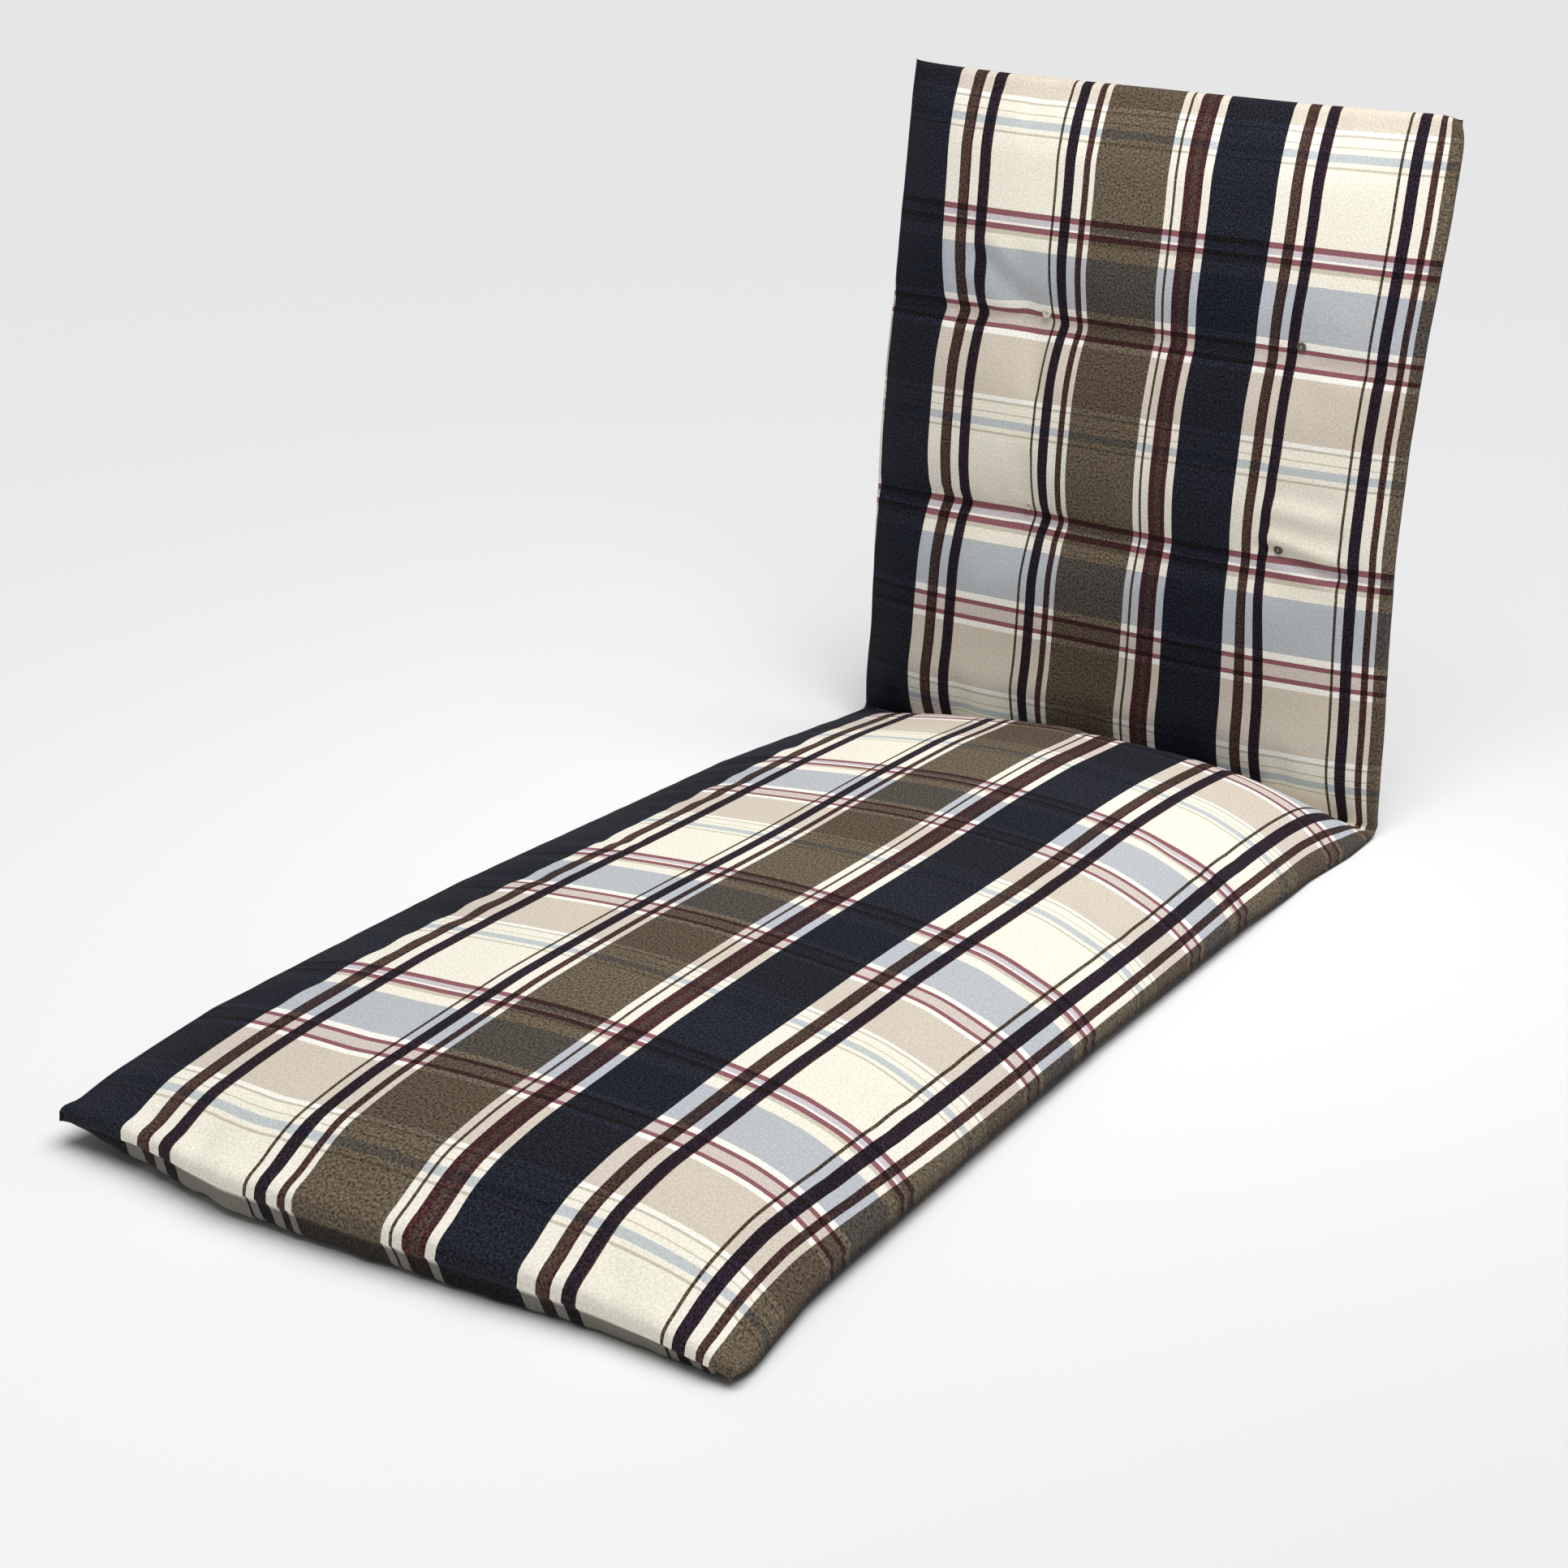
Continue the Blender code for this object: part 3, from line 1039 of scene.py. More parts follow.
@dataclass
class PlumpingRun:
    """A cloth simulation that plumps the sewn cover, held at its seams, its fold and its tufts."""

    pressure: float = 4.0
    slack: float = 0.009
    frames: int = 20
    cap: float = 0.0060
    swell_ease: int = 9
    quality: int = 6
    mass: float = 0.25
    stiffness: float = 12.0
    bending: float = 0.35

    def shake(self, mesh: bpy.types.Mesh, held: np.ndarray) -> np.ndarray:
        """Run the simulation.

        Args:
            mesh: The cover.
            held: How firmly each point is held, from 0 to 1.

        Returns:
            How far each point moves, no further than the cap.
        """
        item = placed("plumping", mesh.copy())
        group = item.vertex_groups.new(name="held")
        for place, weight in enumerate(held):
            group.add([place], float(weight), "REPLACE")
        cloth = item.modifiers.new("plumping", "CLOTH")
        settings = cloth.settings
        settings.quality = self.quality
        settings.mass = self.mass
        settings.vertex_group_mass = "held"
        settings.use_pressure = True
        settings.uniform_pressure_force = self.pressure
        settings.shrink_min = -self.slack
        settings.tension_stiffness = settings.compression_stiffness = self.stiffness
        settings.bending_stiffness = self.bending
        settings.effector_weights.gravity = 0.0
        cloth.collision_settings.use_collision = False
        cloth.point_cache.frame_start, cloth.point_cache.frame_end = 1, self.frames
        scene = bpy.context.scene
        for number in range(1, self.frames + 1):
            scene.frame_set(number)
        plumped = item.evaluated_get(bpy.context.evaluated_depsgraph_get()).to_mesh()
        moved = points_of(plumped) - points_of(mesh)
        item.evaluated_get(bpy.context.evaluated_depsgraph_get()).to_mesh_clear()
        copy = item.data
        bpy.data.objects.remove(item)
        bpy.data.meshes.remove(copy)
        scene.frame_set(1)
        reach = np.linalg.norm(moved, axis=1, keepdims=True)
        return moved * np.minimum(1.0, self.cap / np.maximum(reach, 1e-9))


class Section(NamedTuple):
    """The middle line of the seat or the back: its length, its rise and its rounding at either end."""

    length: float
    rise: float
    fold_swell: float
    end_round: float
    fine_places: tuple[float, ...] = ()


class SeamPull(NamedTuple):
    """How a seam draws the cloth in, and the lip that stands beside it."""

    pull: float
    pull_width: float
    lip: float
    lip_place: float
    lip_width: float

    def at(self, gap: np.ndarray, lipped: Any = 1.0) -> np.ndarray:
        """Lift at a distance from the seam, with the lip where lipped is 1."""
        lip = self.lip * lipped * bell(gap - self.lip_place, self.lip_width)
        return lip - self.pull * bell(gap, self.pull_width)


class Ripple(NamedTuple):
    """Uneven waves beside a seam: their height, pitch and start, where they begin and how soon they fade."""

    height: float
    pitch: float
    phase: float
    fade: float
    begin: float = 0.006

    def at(self, along: np.ndarray, gap: np.ndarray) -> np.ndarray:
        """Height of the waves.

        Args:
            along: Metres along the seam.
            gap: Metres from the seam.

        Returns:
            The height at each point.
        """
        turn = 2.0 * math.pi / self.pitch
        waves = sum(share * np.sin(turn * pace * along + late * self.phase) for share, pace, late in RIPPLE_WAVES)
        return self.height * waves * np.exp(-gap / self.fade) * smooth_step(gap / self.begin)


@dataclass
class FilledCushion:
    """The cushion in its cloth: its mesh follows the threads, and is plumped and creased."""

    form: CushionForm = field(default_factory=CushionForm)
    plumping: PlumpingRun = field(default_factory=PlumpingRun)
    column_pitch: float = 0.0115
    row_pitch: float = 0.0122
    seam_pitch: float = 0.0040
    seam_ease: float = 0.030
    thread_at_fold: float = 0.577
    back_thread: float = 0.5553
    seat_thread: float = 0.5990
    hidden_reach: float = 0.045
    cloth_width: float = 0.625
    seat_rise: float = 0.055
    blend_reach: float = 0.030
    side_calm: float = 0.12
    side_calm_reach: float = 0.060
    samples: int = 801
    held_seam: float = 0.002
    held_fold: float = 0.008
    held_rows: float = 0.75
    held_row_reach: float = 0.007
    held_tuft_reach: float = 0.010
    held_floor: float = 0.002
    least_held: float = 0.05
    edge_seam: SeamPull = SeamPull(0.0020, 0.0022, 0.0010, 0.007, 0.0035)
    foot_seam: SeamPull = SeamPull(0.0038, 0.0025, 0.0030, 0.009, 0.006)
    foot_shear: float = 0.0012
    foot_shear_reach: float = 0.0030
    foot_ripple: Ripple = Ripple(0.0008, 0.034, 0.4, 0.020)
    top_ripple: Ripple = Ripple(0.0005, 0.042, 1.9, 0.018)
    side_ripples: tuple[Ripple, Ripple] = (Ripple(0.0002, 0.060, 0.8, 0.018), Ripple(0.0002, 0.060, 2.6, 0.018))
    fold_ripple: Ripple = Ripple(0.0006, 0.036, 1.2, 0.020, 0.012)
    anchors: tuple[Anchor, ...] = (
        Anchor(0.0000, -0.0600),
        Anchor(0.0621, 0.0000),
        Anchor(0.1202, 0.0530),
        Anchor(0.1994, 0.1290),
        Anchor(0.2449, 0.1740),
        Anchor(0.3290, 0.2560),
        Anchor(0.3772, 0.3040),
        Anchor(0.4498, 0.3770),
        Anchor(0.4974, 0.4300),
        Anchor(0.5674, 0.5060),
        Anchor(0.6250, 0.5660),
    )
    pinches: tuple[Pinch, ...] = (
        Pinch(0.430, 0.300, 0.0090, 0.030, 0.055),
        Pinch(0.430, 0.100, 0.0030, 0.030, 0.040),
    )
    creases: tuple[Crease, ...] = (
        Crease((0.110, 0.520), (0.188, 0.460), 0.0045, 0.010),
        Crease((0.192, 0.450), (0.205, 0.370), 0.0032, 0.009),
        Crease((0.060, 0.452), (0.185, 0.452), 0.0016, 0.006),
        Crease((0.190, 0.246), (0.060, 0.258), 0.0018, 0.006),
        Crease((0.190, 0.262), (0.200, 0.320), 0.0018, 0.008),
        Crease((0.205, 0.250), (0.330, 0.238), 0.0020, 0.007),
        Crease((0.466, 0.268), (0.585, 0.246), 0.0062, 0.0055),
        Crease((0.474, 0.292), (0.570, 0.284), 0.0034, 0.008),
        Crease((0.470, 0.322), (0.560, 0.318), 0.0028, 0.009),
        Crease((0.500, 0.452), (0.600, 0.448), 0.0016, 0.008),
    )

    @staticmethod
    def _run(places: np.ndarray, rise: np.ndarray) -> np.ndarray:
        """Length of cloth up to each place of a rising line."""
        return np.concatenate([[0.0], np.cumsum(np.hypot(np.diff(places), np.diff(rise)))])

    @staticmethod
    def _spread(length: float, pitch: Callable[[np.ndarray], np.ndarray]) -> np.ndarray:
        """Spread places from 0 to a length.

        Args:
            length: The length.
            pitch: Gives how far apart the places lie at each place.

        Returns:
            The places.
        """
        fine = np.linspace(0.0, length, SPREAD_SAMPLES)
        density = 1.0 / pitch(fine)
        counted = np.concatenate([[0.0], np.cumsum((density[1:] + density[:-1]) / 2.0 * np.diff(fine))])
        return np.interp(np.linspace(0.0, counted[-1], int(round(counted[-1])) + 1), counted, fine)

    def _pitch(self, coarse: float, places: Sequence[float]) -> Callable[[np.ndarray], np.ndarray]:
        """Make a pitch that grows away from given places.

        Args:
            coarse: The pitch far from all of them.
            places: The places where the pitch is fine.

        Returns:
            The pitch at each value.
        """
        def at(values: np.ndarray) -> np.ndarray:
            """Pitch at each value."""
            nearest = np.min(np.abs(values[:, None] - np.array(places)[None, :]), axis=1)
            return self.seam_pitch + (coarse - self.seam_pitch) * smooth_step(nearest / self.seam_ease)
        return at

    def _column_shares(self) -> np.ndarray:
        """Places of the columns across the cloth, as shares of its width."""
        width = self.cloth_width
        return self._spread(width, self._pitch(self.column_pitch, (0.0, width))) / width

    def _columns(self, shares: np.ndarray, fullness: Fullness, crown: float) -> np.ndarray:
        """Find where a crowned section's columns lie.

        Args:
            shares: Places of the columns, as shares of the cloth's width.
            fullness: How the section's fill falls away.
            crown: Its rise.

        Returns:
            Places across, from -1 to 1.
        """
        u = -np.cos(np.linspace(0.0, math.pi, self.samples))
        cloth = self._run(u * self.form.half_width, self.form.fill_across(u, fullness) * crown)
        return np.interp(shares * cloth[-1], cloth, u)

    def _stations(self, section: Section) -> tuple[np.ndarray, np.ndarray]:
        """Places along a section, closer together near its end seam and its tufted rows.

        Args:
            section: The section's middle line.

        Returns:
            The places, and the length of cloth from the fold to each.
        """
        form = self.form
        turn = np.linspace(0.0, math.pi, self.samples)
        places = form.web + (section.length - form.web) * (1.0 - np.cos(turn)) / 2.0
        rise = section.rise * form.fill_from_fold(places - form.web, section.fold_swell)
        cloth = self._run(places, rise * form.fill_from_end(section.length - places, section.end_round))
        marks = [0.0, cloth[-1], *np.interp(section.fine_places, places, cloth)]
        even = self._spread(cloth[-1], self._pitch(self.row_pitch, marks))[1:]
        return np.interp(even, cloth, places), even

    def _threads_along(self, cloth: np.ndarray, start: float, direction: float) -> np.ndarray:
        """Place in the check along the length, eased to the same thread at the fold."""
        eased = (start - self.thread_at_fold) * smooth_step(cloth / self.hidden_reach)
        return self.thread_at_fold + eased + direction * cloth

    def _blended(self, own: np.ndarray, shared: np.ndarray, distance: float) -> np.ndarray:
        """A section's own columns, eased to the shared ones at the fold."""
        return own + (shared - own) * bell(distance, self.blend_reach)

    def rows(self, shares: np.ndarray) -> tuple[list, list, np.ndarray, np.ndarray]:
        """Rows of points from foot to top.

        Args:
            shares: Places of the columns, as shares of the cloth's width.

        Returns:
            The rows of the upper and the under face, each row's place along the check, and its
            place along the cloth from the fold, below 0 on the seat.
        """
        form = self.form
        seat_u = self._columns(shares, form.seat_fullness, self.seat_rise)
        back_u = self._columns(shares, form.back_fullness, form.back_crown)
        shared = (seat_u + back_u) / 2.0
        seat, seat_cloth = self._stations(
            Section(form.seat_length, self.seat_rise, form.seat_fold_swell, form.seat_front_round)
        )
        back, back_cloth = self._stations(
            Section(form.back_length, form.back_crown, form.back_fold_swell, form.back_top_round, form.tuft_rows)
        )
        upper, under = [], []
        for along in seat[::-1]:
            u = self._blended(seat_u, shared, along)
            upper.append(form.seat_points(u, along, Face.UPPER))
            under.append(form.seat_points(u, along, Face.UNDER))
        for points, face in ((upper, Face.UPPER), (under, Face.UNDER)):
            points.append(form.fold_points(shared, face))
        for height in back:
            u = self._blended(back_u, shared, height)
            upper.append(form.back_points(u, height, Face.UPPER))
            under.append(form.back_points(u, height, Face.UNDER))
        threads = np.concatenate([
            self._threads_along(seat_cloth, self.seat_thread, 1.0)[::-1],
            [self.thread_at_fold],
            self._threads_along(back_cloth, self.back_thread, -1.0),
        ])
        return upper, under, threads, np.concatenate([-seat[::-1], [0.0], back])

    def mesh(self) -> bpy.types.Mesh:
        """Sew both faces together round the edge.

        Returns:
            The cover, with its threads and sewing places at each point.
        """
        shares = self._column_shares()
        upper, under, threads, places = self.rows(shares)
        width = len(shares)
        cloth = shares * self.cloth_width
        check = np.interp(cloth, [a.cloth for a in self.anchors], [a.check for a in self.anchors])
        across = check[None, :] + SIDEWAYS_SLIP.at(check, threads)
        across = across + self.foot_shear * bell(places + self.form.seat_length, self.foot_shear_reach)[:, None]
        for pinch in self.pinches:
            across = across + pinch.at(check[None, :], threads[:, None])
        along = threads[:, None] + LENGTHWAYS_SLIP.at(check, threads)
        shape = bmesh.new()
        thread_layer = shape.verts.layers.float_vector.new(THREAD)
        sewing_layer = shape.verts.layers.float_vector.new(SEWING)
        grids: list[list[list[bmesh.types.BMVert]]] = []
        for face_rows, side in ((upper, 1.0), (under, -1.0)):
            grid = []
            for j, points in enumerate(face_rows):
                row = []
                for i, point in enumerate(points):
                    edge = i in (0, width - 1) or j in (0, len(face_rows) - 1)
                    if grids and edge:
                        row.append(grids[0][j][i])
                        continue
                    vert = shape.verts.new(point)
                    vert[thread_layer] = Vector((across[j, i], along[j, i], 0.0))
                    vert[sewing_layer] = Vector((cloth[i], places[j], 0.0 if edge else side))
                    row.append(vert)
                grid.append(row)
            grids.append(grid)
        for grid, turned in zip(grids, (False, True)):
            for low, high in zip(grid, grid[1:]):
                for i in range(width - 1):
                    corners = [low[i], low[i + 1], high[i + 1], high[i]]
                    shape.faces.new(corners[::-1] if turned else corners)
        bmesh.ops.recalc_face_normals(shape, faces=shape.faces[:])
        mesh = mesh_of("cushion_cover", shape)
        mesh.shade_smooth()
        return mesh

    def _from_seam(self, sewing: np.ndarray) -> np.ndarray:
        """Measure how far each point is from the seam round the edge.

        Args:
            sewing: The points' sewing places.

        Returns:
            Each point's distance from the nearest seam.
        """
        form = self.form
        sides = np.minimum(sewing[:, 0], self.cloth_width - sewing[:, 0])
        ends = np.minimum(sewing[:, 1] + form.seat_length, form.back_length - sewing[:, 1])
        return np.minimum(sides, ends)

    def _held(self, mesh: bpy.types.Mesh) -> np.ndarray:
        """Hold the cover at its seams, its fold, its tufted rows and the floor.

        Args:
            mesh: The cover.

        Returns:
            How firmly each point is held, from 0 to 1.
        """
        sewing, points = marks_of(mesh, SEWING), points_of(mesh)
        held = (self._from_seam(sewing) < self.held_seam).astype(float)
        held = np.maximum(held, (np.abs(sewing[:, 1]) < self.held_fold).astype(float))
        for row in self.form.tuft_rows:
            held = np.maximum(held, self.held_rows * bell(sewing[:, 1] - row, self.held_row_reach))
        for tuft in self.form.tufts:
            gap = np.hypot(points[:, 0] - tuft.across * self.form.half_width, sewing[:, 1] - tuft.height)
            held = np.maximum(held, bell(gap, self.held_tuft_reach))
        on_floor = (points[:, 2] < self.held_floor) & (sewing[:, 2] < 0.0)
        return np.where(on_floor, 1.0, np.where(held < self.least_held, 0.0, held))

    def _plump(self, mesh: bpy.types.Mesh) -> None:
        """Apply the simulation, less the even swell that the form already has.

        Args:
            mesh: The cover, whose points are moved.
        """
        moved = self.plumping.shake(mesh, self._held(mesh))
        swell = moved.copy()
        links = np.empty(len(mesh.edges) * 2, dtype=np.int64)
        mesh.edges.foreach_get("vertices", links)
        first, second = links.reshape(-1, 2).T
        for _ in range(self.plumping.swell_ease):
            total, count = swell.copy(), np.ones((len(swell), 1))
            for here, there in ((first, second), (second, first)):
                np.add.at(total, here, swell[there])
                np.add.at(count, here, 1.0)
            swell = total / count
        across = marks_of(mesh, SEWING)[:, 0]
        from_side = np.minimum(across, self.cloth_width - across)
        kept = self.side_calm + (1.0 - self.side_calm) * smooth_step(from_side / self.side_calm_reach)
        points = points_of(mesh) + (moved - swell) * kept[:, None]
        points[:, 2] = np.maximum(points[:, 2], 0.0)
        mesh.vertices.foreach_set("co", points.reshape(-1))
        LOG.info("plumping moved the cloth by up to %.1f mm", 1000.0 * np.abs(moved).max())

    def _detail(self, mesh: bpy.types.Mesh) -> None:
        """Draw in the seams, and pucker and crease the cloth.

        Args:
            mesh: The fine cover, whose points are moved.
        """
        sewing, points, normals = marks_of(mesh, SEWING), points_of(mesh), normals_of(mesh)
        across, along, side = sewing.T
        foot, top = along + self.form.seat_length, self.form.back_length - along
        upper = side > 0.0
        lift = self.edge_seam.at(self._from_seam(sewing)) + self.foot_seam.at(foot, upper)
        lift += self.foot_ripple.at(across, foot) + self.top_ripple.at(across, top)
        for ripple, gap in zip(self.side_ripples, (across, self.cloth_width - across)):
            lift += ripple.at(along, gap)
        lift += self.fold_ripple.at(across, np.abs(along))
        folds = sum(crease.at(across, along) for crease in self.creases)
        lift -= np.where(upper & (along > 0.0), folds, 0.0)
        moved = points + normals * lift[:, None]
        moved[:, 2] = np.maximum(moved[:, 2], 0.0)
        mesh.vertices.foreach_set("co", moved.reshape(-1))
        mesh.update()

    def build(self, cloth: bpy.types.Material) -> bpy.types.Object:
        """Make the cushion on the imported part.

        Args:
            cloth: The cover's finish.

        Returns:
            The cushion's cover.
        """
        mesh = self.mesh()
        self._plump(mesh)
        item = placed("cushion_cover", mesh)
        smooth = item.modifiers.new("fine_cloth", "SUBSURF")
        smooth.levels = smooth.render_levels = 1
        fine = plain_mesh(item)
        item.modifiers.clear()
        item.data = fine
        self._detail(fine)
        fine.materials.append(cloth)
        fine.transform(Matrix.Translation((0.0, FOLD_LINE, 0.0)))
        fine.shade_smooth()
        fine.name = "cushion_cover_cloth"
        return item


@dataclass(frozen=True)
class TuftButton:
    """A small dished button with its holding stitch, seated in a hollow of the back."""

    tuft: Tuft
    radius: float = 0.0047
    height: float = 0.0032
    sunk: float = 0.0003
    clear: float = 0.030
    segments: int = 40
    rim_points: int = 12
    profile: tuple[tuple[float, float], ...] = (
        (0.00, 0.00), (0.70, 0.00), (0.93, 0.16), (1.00, 0.42), (0.97, 0.72), (0.86, 0.93),
        (0.74, 1.00), (0.62, 0.94), (0.52, 0.76), (0.30, 0.66), (0.00, 0.64),
    )
    stitch_size: tuple[float, float, float] = (0.0018, 0.00035, 0.00055)
    stitch_offset: float = 0.00045
    stitch_rise: float = 0.72

    def _shell(self) -> bmesh.types.BMesh:
        """Turn the button's profile round its middle.

        Returns:
            The button's shell.
        """
        shape = bmesh.new()
        turns = [2.0 * math.pi * k / self.segments for k in range(self.segments)]
        rings = []
        for share, rise in self.profile:
            wide, high = share * self.radius, rise * self.height
            around = turns if share > 0.0 else turns[:1]
            rings.append([shape.verts.new((wide * math.cos(a), wide * math.sin(a), high)) for a in around])
        for low, high in zip(rings, rings[1:]):
            for k in range(self.segments):
                corners = [low[k % len(low)], low[(k + 1) % len(low)], high[(k + 1) % len(high)], high[k % len(high)]]
                shape.faces.new(list(dict.fromkeys(corners)))
        bmesh.ops.recalc_face_normals(shape, faces=shape.faces[:])
        return shape

    def _stitch(self) -> bmesh.types.BMesh:
        """Lay two short turns of thread across the button's dish.

        Returns:
            The thread.
        """
        shape = bmesh.new()
        long, wide, high = self.stitch_size
        for offset in (-self.stitch_offset, self.stitch_offset):
            made = bmesh.ops.create_uvsphere(shape, u_segments=10, v_segments=8, radius=1.0)
            for vert in made["verts"]:
                x, y, z = vert.co
                vert.co = Vector((x * long, y * wide + offset, z * high + self.height * self.stitch_rise))
        return shape

    def build(
        self, surface: BVHTree, lean: float, shell: bpy.types.Material, thread: bpy.types.Material
    ) -> tuple[bpy.types.Object, bpy.types.Object]:
        """Seat the button and its stitch on the cloth.

        Args:
            surface: The cloth's surface.
            lean: Angle in radians by which the back leans.
            shell: The button's finish.
            thread: The stitch's finish.

        Returns:
            The button and its stitch.
        """
        low, high = (Vector(corner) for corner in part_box(self.tuft.node))
        middle = (low + high) / 2.0
        outward = Vector((0.0, -math.cos(lean), math.sin(lean)))
        seat, normal = surface.ray_cast(middle + outward * self.clear, -outward)[:2]
        axis = (normal + outward).normalized()
        turned = axis.to_track_quat("Z", "X").to_matrix().to_4x4()
        rises = []
        for k in range(self.rim_points):
            angle = 2.0 * math.pi * k / self.rim_points
            rim = turned @ Vector((self.radius * math.cos(angle), self.radius * math.sin(angle), 0.0))
            hit = surface.ray_cast(seat + rim + axis * self.clear, -axis)[0]
            rises.append((hit - seat).dot(axis))
        place = Matrix.Translation(seat + axis * (sum(rises) / len(rises) - self.sunk)) @ turned
        made = []
        for name, shape, finish in (
            (self.tuft.node.replace("tuft_button", "button"), self._shell(), shell),
            (self.tuft.node.replace("tuft_button", "button_stitch"), self._stitch(), thread),
        ):
            mesh = mesh_of(name, shape)
            mesh.transform(place)
            mesh.shade_smooth()
            mesh.materials.append(finish)
            made.append(placed(name, mesh))
        return made[0], made[1]


@dataclass(frozen=True)
class FoldStitches:
    """The row of stitches along the sewn fold, laid by Geometry Nodes along a line on the cloth."""

    spacing: float = 0.0042
    length: float = 0.0031
    radius: float = 0.00038
    side_margin: float = 0.012
    unevenness: float = 0.12
    proud: float = 0.6
    seed: int = 7

    def _tree(self, thread: bpy.types.Material) -> bpy.types.NodeTree:
        """Build the stitching tree, whose sizes are named inputs.

        Args:
            thread: The thread's finish.

        Returns:
            The tree.
        """
        tree = bpy.data.node_groups.new("fold_stitching", "GeometryNodeTree")
        for name, direction, kind in (
            ("Line", "INPUT", "Geometry"), ("Spacing", "INPUT", "Float"), ("Stitch Length", "INPUT", "Float"),
            ("Thread Radius", "INPUT", "Float"), ("Unevenness", "INPUT", "Float"), ("Seed", "INPUT", "Int"),
            ("Stitches", "OUTPUT", "Geometry"),
        ):
            tree.interface.new_socket(name, in_out=direction, socket_type="NodeSocket" + kind)
        bench = NodeBench(tree)
        source = bench.node("NodeGroupInput").outputs
        line = bench.node("GeometryNodeMeshToCurve", None, {"Mesh": source["Line"]}).outputs["Curve"]
        evenly = {"Curve": line, "Length": source["Spacing"]}
        line = bench.node("GeometryNodeResampleCurve", {"mode": "LENGTH"}, evenly).outputs["Curve"]
        tangent = bench.node("GeometryNodeInputTangent").outputs["Tangent"]
        turn = bench.node("FunctionNodeAlignRotationToVector", {"axis": "Z"}, {"Vector": tangent})
        ball = bench.node("GeometryNodeMeshUVSphere", None, {"Segments": 8, "Rings": 6, "Radius": 1.0})
        half, thin = Value(bench, source["Stitch Length"]) * 0.5, source["Thread Radius"]
        size = bench.node("ShaderNodeCombineXYZ", None, {0: thin, 1: thin, 2: half}).outputs[0]
        stitch = bench.node("GeometryNodeTransform", None, {"Geometry": ball.outputs["Mesh"], "Scale": size})
        uneven = Value(bench, source["Unevenness"])
        limits = {2: 1.0 - uneven, 3: 1.0 + uneven, "Seed": source["Seed"]}
        scale = bench.node("FunctionNodeRandomValue", {"data_type": "FLOAT"}, limits).outputs[1]
        laid = bench.node("GeometryNodeInstanceOnPoints", None, {
            "Points": line, "Instance": stitch.outputs["Geometry"],
            "Rotation": turn.outputs["Rotation"], "Scale": scale,
        })
        real = bench.node("GeometryNodeRealizeInstances", None, {"Geometry": laid.outputs["Instances"]})
        dressed = {"Geometry": real.outputs["Geometry"], "Material": thread}
        finish = bench.node("GeometryNodeSetMaterial", None, dressed)
        bench.node("NodeGroupOutput", None, {"Stitches": finish.outputs["Geometry"]})
        return tree

    def _line(self, surface: BVHTree, form: CushionForm) -> bpy.types.Mesh:
        """Draw lines along the outside and the inside of the fold, resting on the cloth.

        Args:
            surface: The cloth's surface.
            form: The cushion's form, which has the fold's place.

        Returns:
            The lines.
        """
        u = np.linspace(-1.0, 1.0, 121) * (1.0 - self.side_margin / form.half_width)
        shape = bmesh.new()
        for face in Face:
            last = None
            for point in form.fold_points(u, face):
                near, normal = surface.find_nearest(Vector(point) + Vector((0.0, FOLD_LINE, 0.0)))[:2]
                vert = shape.verts.new(near + normal * self.radius * self.proud)
                if last is not None:
                    shape.edges.new((last, vert))
                last = vert
        return mesh_of("fold_line", shape)

    def build(self, surface: BVHTree, form: CushionForm, thread: bpy.types.Material) -> bpy.types.Object:
        """Lay the stitches along the fold.

        Args:
            surface: The cloth's surface.
            form: The cushion's form, which has the fold's place.
            thread: The thread's finish.

        Returns:
            The stitches as one plain piece.
        """
        item = placed("fold_stitches", self._line(surface, form))
        tree = self._tree(thread)
        modifier = item.modifiers.new("stitching", "NODES")
        modifier.node_group = tree
        values = {
            "Spacing": self.spacing, "Stitch Length": self.length, "Thread Radius": self.radius,
            "Unevenness": self.unevenness, "Seed": self.seed,
        }
        for socket in tree.interface.items_tree:
            if socket.name in values:
                modifier[socket.identifier] = values[socket.name]
        mesh = plain_mesh(item)
        item.modifiers.clear()
        item.data = mesh
        mesh.shade_smooth()
        return item


@dataclass(frozen=True)
class Softbox:
    """A square soft light: where it hangs, what it is aimed at, its side in metres and its watts."""

    name: str
    place: tuple[float, float, float]
    aim: tuple[float, float, float]
    size: float
    power: float

    def hang(self) -> None:
        """Hang the light, out of the camera's sight."""
        data = bpy.data.lights.new(self.name, "AREA")
        data.shape = "SQUARE"
        data.size = self.size
        data.energy = self.power
        item = placed(self.name, data)
        item.visible_camera = False
        item.location = self.place
        ray = Vector(self.aim) - Vector(self.place)
        item.rotation_euler = ray.to_track_quat("-Z", "Y").to_euler()


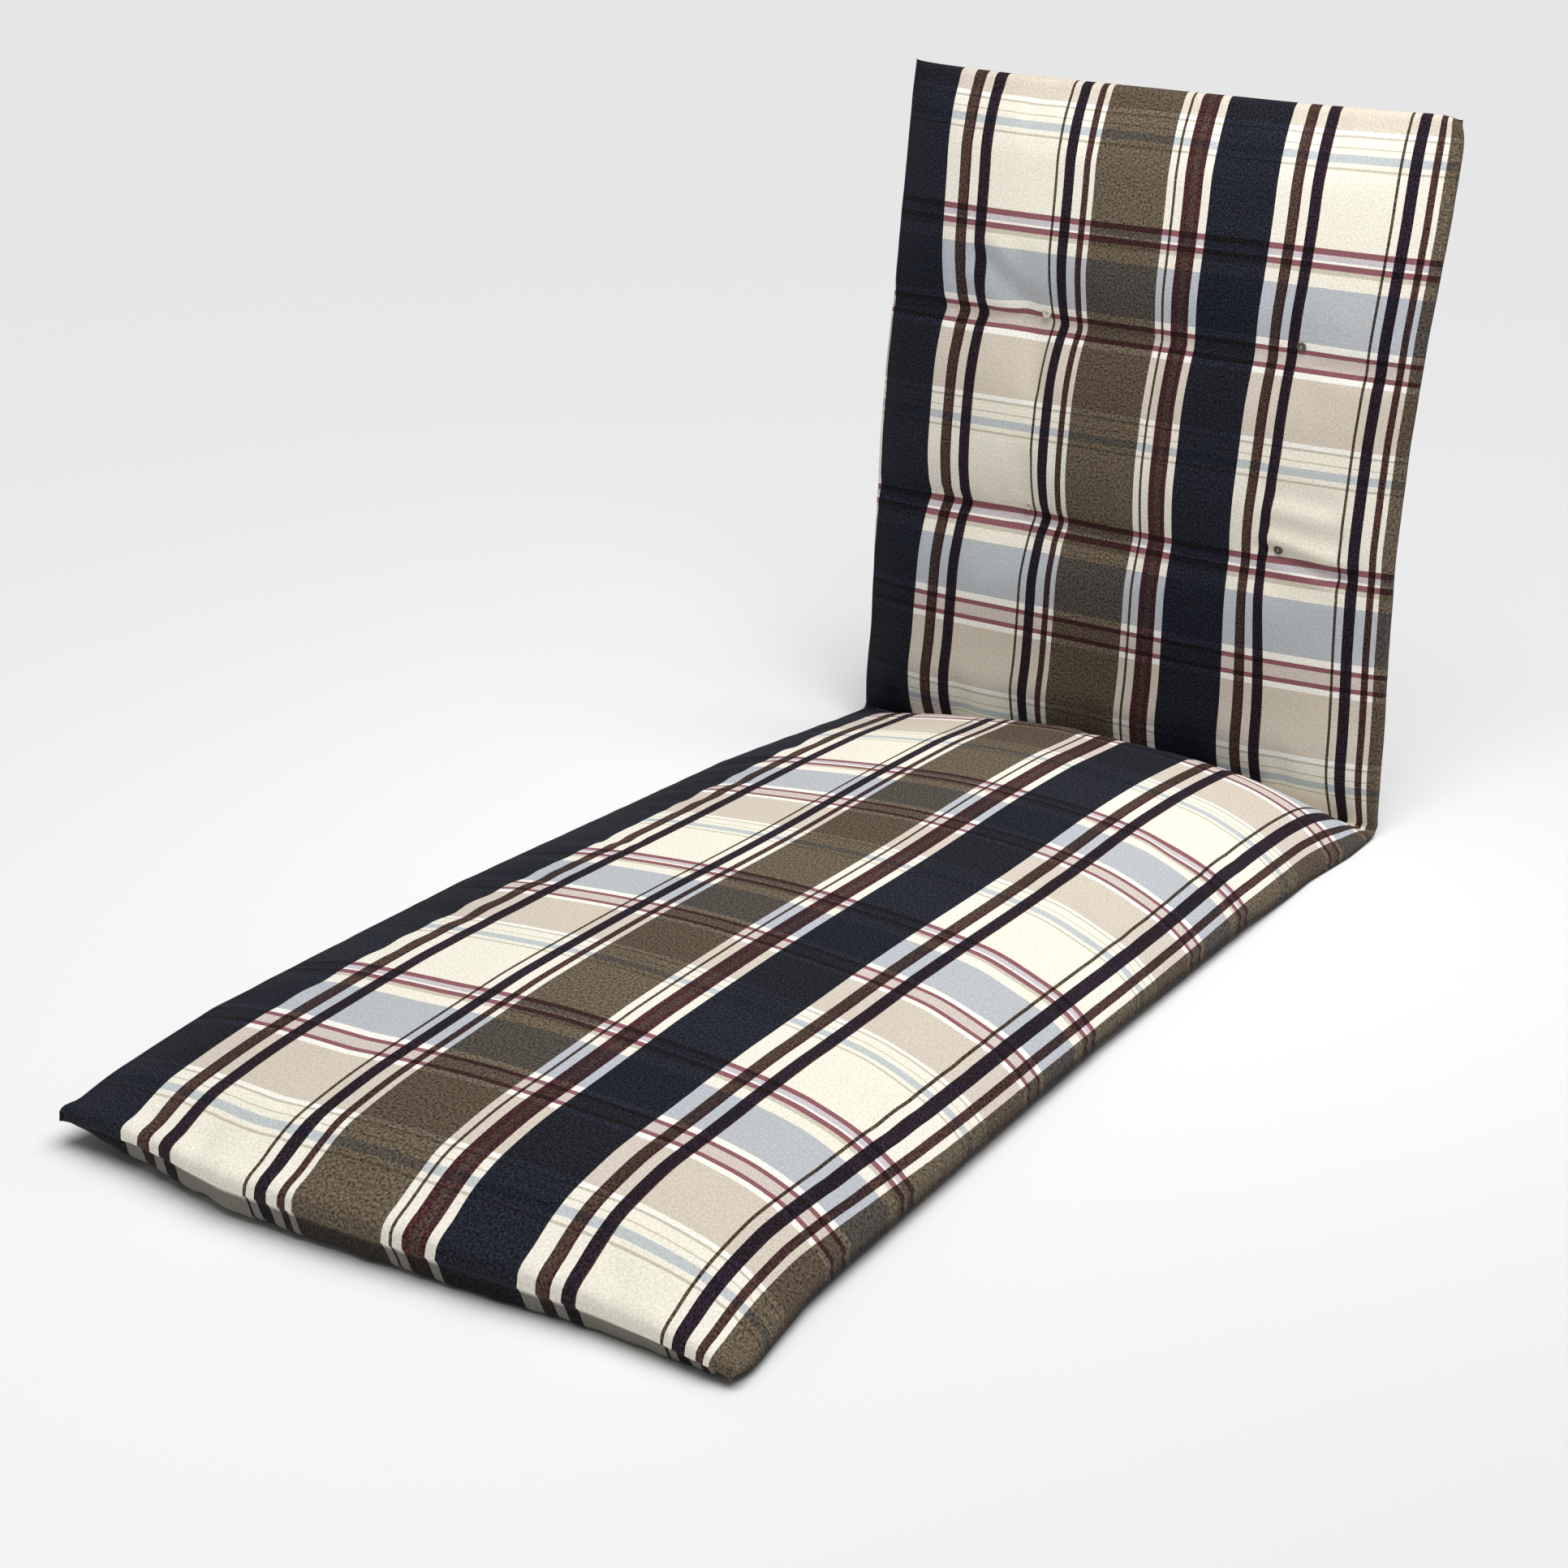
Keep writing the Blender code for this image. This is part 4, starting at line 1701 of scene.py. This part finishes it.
@dataclass(frozen=True)
class Studio:
    """Pale floor, soft light and the camera of the photograph."""

    camera_place: tuple[float, float, float] = (1.0936, -2.3583, 0.9661)
    turn: float = 0.5657
    tilt: float = 0.3636
    roll: float = 0.0154
    focal_pixels: float = 3195.0
    frame_pixels: float = 1932.0
    sensor: float = 36.0
    room_strength: float = 0.17
    overhead_strength: float = 2.32
    overhead_angle: float = math.radians(50.0)
    overhead_from: tuple[float, float, float] = (0.30, -0.02, 1.0)
    softboxes: tuple[Softbox, ...] = (
        Softbox("back_softbox", (0.26, 0.06, 1.20), (-0.04, 0.62, 0.70), 0.5, 4.6),
        Softbox("foot_softbox", (0.10, -0.90, 1.10), (0.00, -0.72, 0.08), 0.6, 1.6),
    )
    floor_reach: float = 60.0
    floor_drop: float = 0.0005
    floor_white: float = 0.90
    floor_roughness: float = 0.9

    def camera(self, fold_y: float) -> None:
        """Put the camera where the photograph was taken from.

        Args:
            fold_y: Where the fold lies.
        """
        data = bpy.data.cameras.new("photo_camera")
        data.sensor_width = self.sensor
        data.lens = self.focal_pixels / self.frame_pixels * self.sensor
        data.clip_start = 0.05
        item = placed("photo_camera", data)
        turned = Euler((math.pi / 2.0 - self.tilt, 0.0, self.turn), "XYZ").to_matrix().to_4x4()
        rolled = turned @ Matrix.Rotation(self.roll, 4, "Z")
        place = Vector(self.camera_place) + Vector((0.0, fold_y, 0.0))
        item.matrix_world = Matrix.Translation(place) @ rolled
        bpy.context.scene.camera = item

    def floor(self) -> None:
        """Lay the pale floor."""
        shape = bmesh.new()
        bmesh.ops.create_grid(shape, x_segments=1, y_segments=1, size=self.floor_reach)
        mesh = mesh_of("floor", shape)
        material, bench, shader = new_finish("pale_floor")
        white = (self.floor_white,) * 3 + (1.0,)
        bench.fill(shader, {"Base Color": white, "Roughness": self.floor_roughness, "Specular IOR Level": 0.0})
        mesh.materials.append(material)
        mesh.transform(Matrix.Translation((0.0, 0.0, -self.floor_drop)))
        placed("floor", mesh)

    def overhead(self) -> None:
        """Hang the large soft light overhead."""
        data = bpy.data.lights.new("overhead", "SUN")
        data.energy = self.overhead_strength
        data.angle = self.overhead_angle
        item = placed("overhead", data)
        item.rotation_euler = Vector(self.overhead_from).to_track_quat("Z", "Y").to_euler()

    def build(self, fold_y: float) -> None:
        """Set up the floor, the light and the camera.

        Args:
            fold_y: Where the fold lies.
        """
        scene = bpy.context.scene
        scene.world = bpy.data.worlds.new("studio")
        scene.world.use_nodes = True
        room = scene.world.node_tree
        light = {"Color": (1.0, 1.0, 1.0, 1.0), "Strength": self.room_strength}
        NodeBench(room).fill(room.nodes["Background"], light)
        scene.view_settings.view_transform = "Standard"
        self.overhead()
        for softbox in self.softboxes:
            softbox.hang()
        self.floor()
        self.camera(fold_y)


def main() -> None:
    """Build the looks in order."""
    logging.basicConfig(level=logging.INFO)
    Studio().build(FOLD_LINE)
    cushion = FilledCushion()
    cover = cushion.build(CheckCloth().make())
    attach(cover, BODY)
    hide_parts(CUSHION_NODE)
    LOG.info("cushion cover: %d faces", len(cover.data.polygons))
    surface = surface_of(cover)
    thread = SEWING_THREAD.make()
    shells = {finish: finish.make() for finish in (CREAM_BUTTON, DARK_BUTTON)}
    for tuft in cushion.form.tufts:
        finish = CREAM_BUTTON if tuft.across < 0.0 else DARK_BUTTON
        button, stitch = TuftButton(tuft).build(surface, cushion.form.back_lean, shells[finish], thread)
        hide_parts(tuft.node)
        for piece in (button, stitch):
            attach(piece, BODY)
        LOG.info("button on %s", tuft.node)
    stitches = FoldStitches().build(surface, cushion.form, thread)
    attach(stitches, BODY)
    LOG.info("fold stitches: %d faces", len(stitches.data.polygons))


if __name__ == "__main__":
    main()
